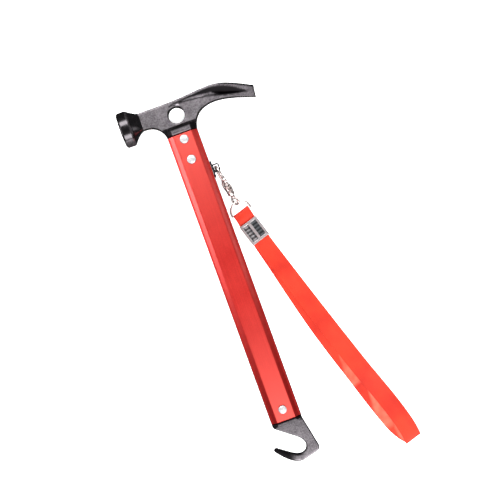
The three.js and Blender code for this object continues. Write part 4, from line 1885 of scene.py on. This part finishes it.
LIGHTS = (
    SoftBox("box_head_end", (0.0, 0.62, 0.60), (-0.02, 0.14, 0.0), (0.9, 0.34), 9.8),
    SoftBox("box_tail_end", (0.0, -0.68, 0.62), (0.0, -0.05, 0.0), (0.9, 0.5), 14.0),
    SoftBox("box_side", (-0.5, 0.17, 0.13), (-0.03, 0.12, 0.015), (0.26, 0.16), 1.0),
    SoftBox("box_low_right", (0.5, 0.07, 0.1), (0.02, 0.1, 0.015), (0.14, 0.1), 0.14),
)


@dataclass(frozen=True)
class Studio:
    """The pale floor, the soft lights and the camera.

    Attributes:
        turn: how far the camera is turned about its line of sight, in degrees.
        look_at: the point under the camera, in the hammer frame.
        height: of the camera above the hammer's middle, in metres.
        field: width of the view there, in metres.
        sensor: width of the camera's sensor in millimetres.
        reach: how far the floor runs to each side, in metres.
        level: how far it is level, in metres.
        cove: its height at the reach, in metres.
    """

    turn: float = -20.0
    look_at: Point = (19.6, -109.4)
    height: float = 1.0
    field: float = 0.4135
    sensor: float = 36.0
    reach: float = 6.0
    level: float = 3.0
    cove: float = 1.3

    def camera(self) -> None:
        """Sets the camera above the hammer, looking straight down."""
        data = bpy.data.cameras.new("camera")
        data.sensor_width = self.sensor
        data.lens = self.sensor * self.height / self.field
        data.clip_start, data.clip_end = 0.01, 50.0
        camera = bpy.data.objects.new("camera", data)
        x, y = self.look_at
        camera.location = ORIGIN + Vector((x * MM, y * MM, MID_Z * MM + self.height))
        camera.rotation_euler = (0.0, 0.0, math.radians(self.turn))
        bpy.context.scene.collection.objects.link(camera)
        bpy.context.scene.camera = camera

    def floor(self) -> None:
        """Lays the floor under the hammer, with a cove that rises far away."""
        mesh = bpy.data.meshes.new("studio_floor")
        row = 13
        places = np.linspace(-self.reach, self.reach, row)
        rise = [(x, y, max(0.0, max(abs(x), abs(y)) / self.level - 1.0)) for y in places for x in places]
        points = [(x, y, self.cove * r * r - 0.0001) for x, y, r in rise]
        corners = [j * row + i for j in range(row - 1) for i in range(row - 1)]
        mesh.from_pydata(points, [], [(c, c + 1, c + row + 1, c + row) for c in corners])
        mesh.materials.append(PaleFloor().material())
        floor = bpy.data.objects.new("studio_floor", mesh)
        bpy.context.scene.collection.objects.link(floor)
        floor.visible_glossy = False

    def lights(self) -> None:
        """Hangs a soft box beyond each end of the hammer and one low on each side of its head."""
        for box in LIGHTS:
            box.build()

    def sky(self) -> None:
        """Makes a dim sky that is bright below the horizon, most of all behind the tail."""
        world = bpy.data.worlds.new("studio")
        world.use_nodes = True
        tree = world.node_tree
        parts, level, below = (
            tree.nodes.new(kind) for kind in ("ShaderNodeSeparateXYZ", "ShaderNodeMapRange", "ShaderNodeMapRange")
        )
        tree.links.new(tree.nodes.new("ShaderNodeTexCoord").outputs["Generated"], parts.inputs["Vector"])
        for node, axis, numbers in ((level, "Z", (-0.2, 0.0, 0.0, 0.11)), (below, "Y", (-0.1, 0.5, 0.9, 0.12))):
            tree.links.new(parts.outputs[axis], node.inputs["Value"])
            for name, number in zip(("From Min", "From Max", "To Min", "To Max"), numbers):
                node.inputs[name].default_value = number
        tree.links.new(below.outputs["Result"], level.inputs["To Min"])
        tree.links.new(level.outputs["Result"], tree.nodes["Background"].inputs["Strength"])
        bpy.context.scene.world = world
        bpy.context.scene.view_settings.view_transform = "Standard"


def main() -> None:
    """Builds the studio and the hammer, piece by piece."""
    logging.basicConfig(level=logging.INFO, format="%(name)s: %(message)s")
    studio = Studio()
    studio.camera()
    studio.floor()
    studio.lights()
    studio.sky()
    Lanyard().build()
    handle = Handle()
    handle.tube()
    handle.rivet("rivet_upper", "head_rivet_upper", handle.rivets[0], 3.7)
    handle.rivet("rivet_lower", "head_rivet_lower", handle.rivets[1], 3.7)
    handle.rivet("rivet_tail", "tail_rivet", handle.rivets[2], 3.45)
    Head(handle).build()
    TailHook(handle).build()
    Eyelet().build()
    clasp = SnapClasp()
    clasp.body()
    clasp.gate()
    clasp.pin_and_spring()
    clasp.swivel()


if __name__ == "__main__":
    main()
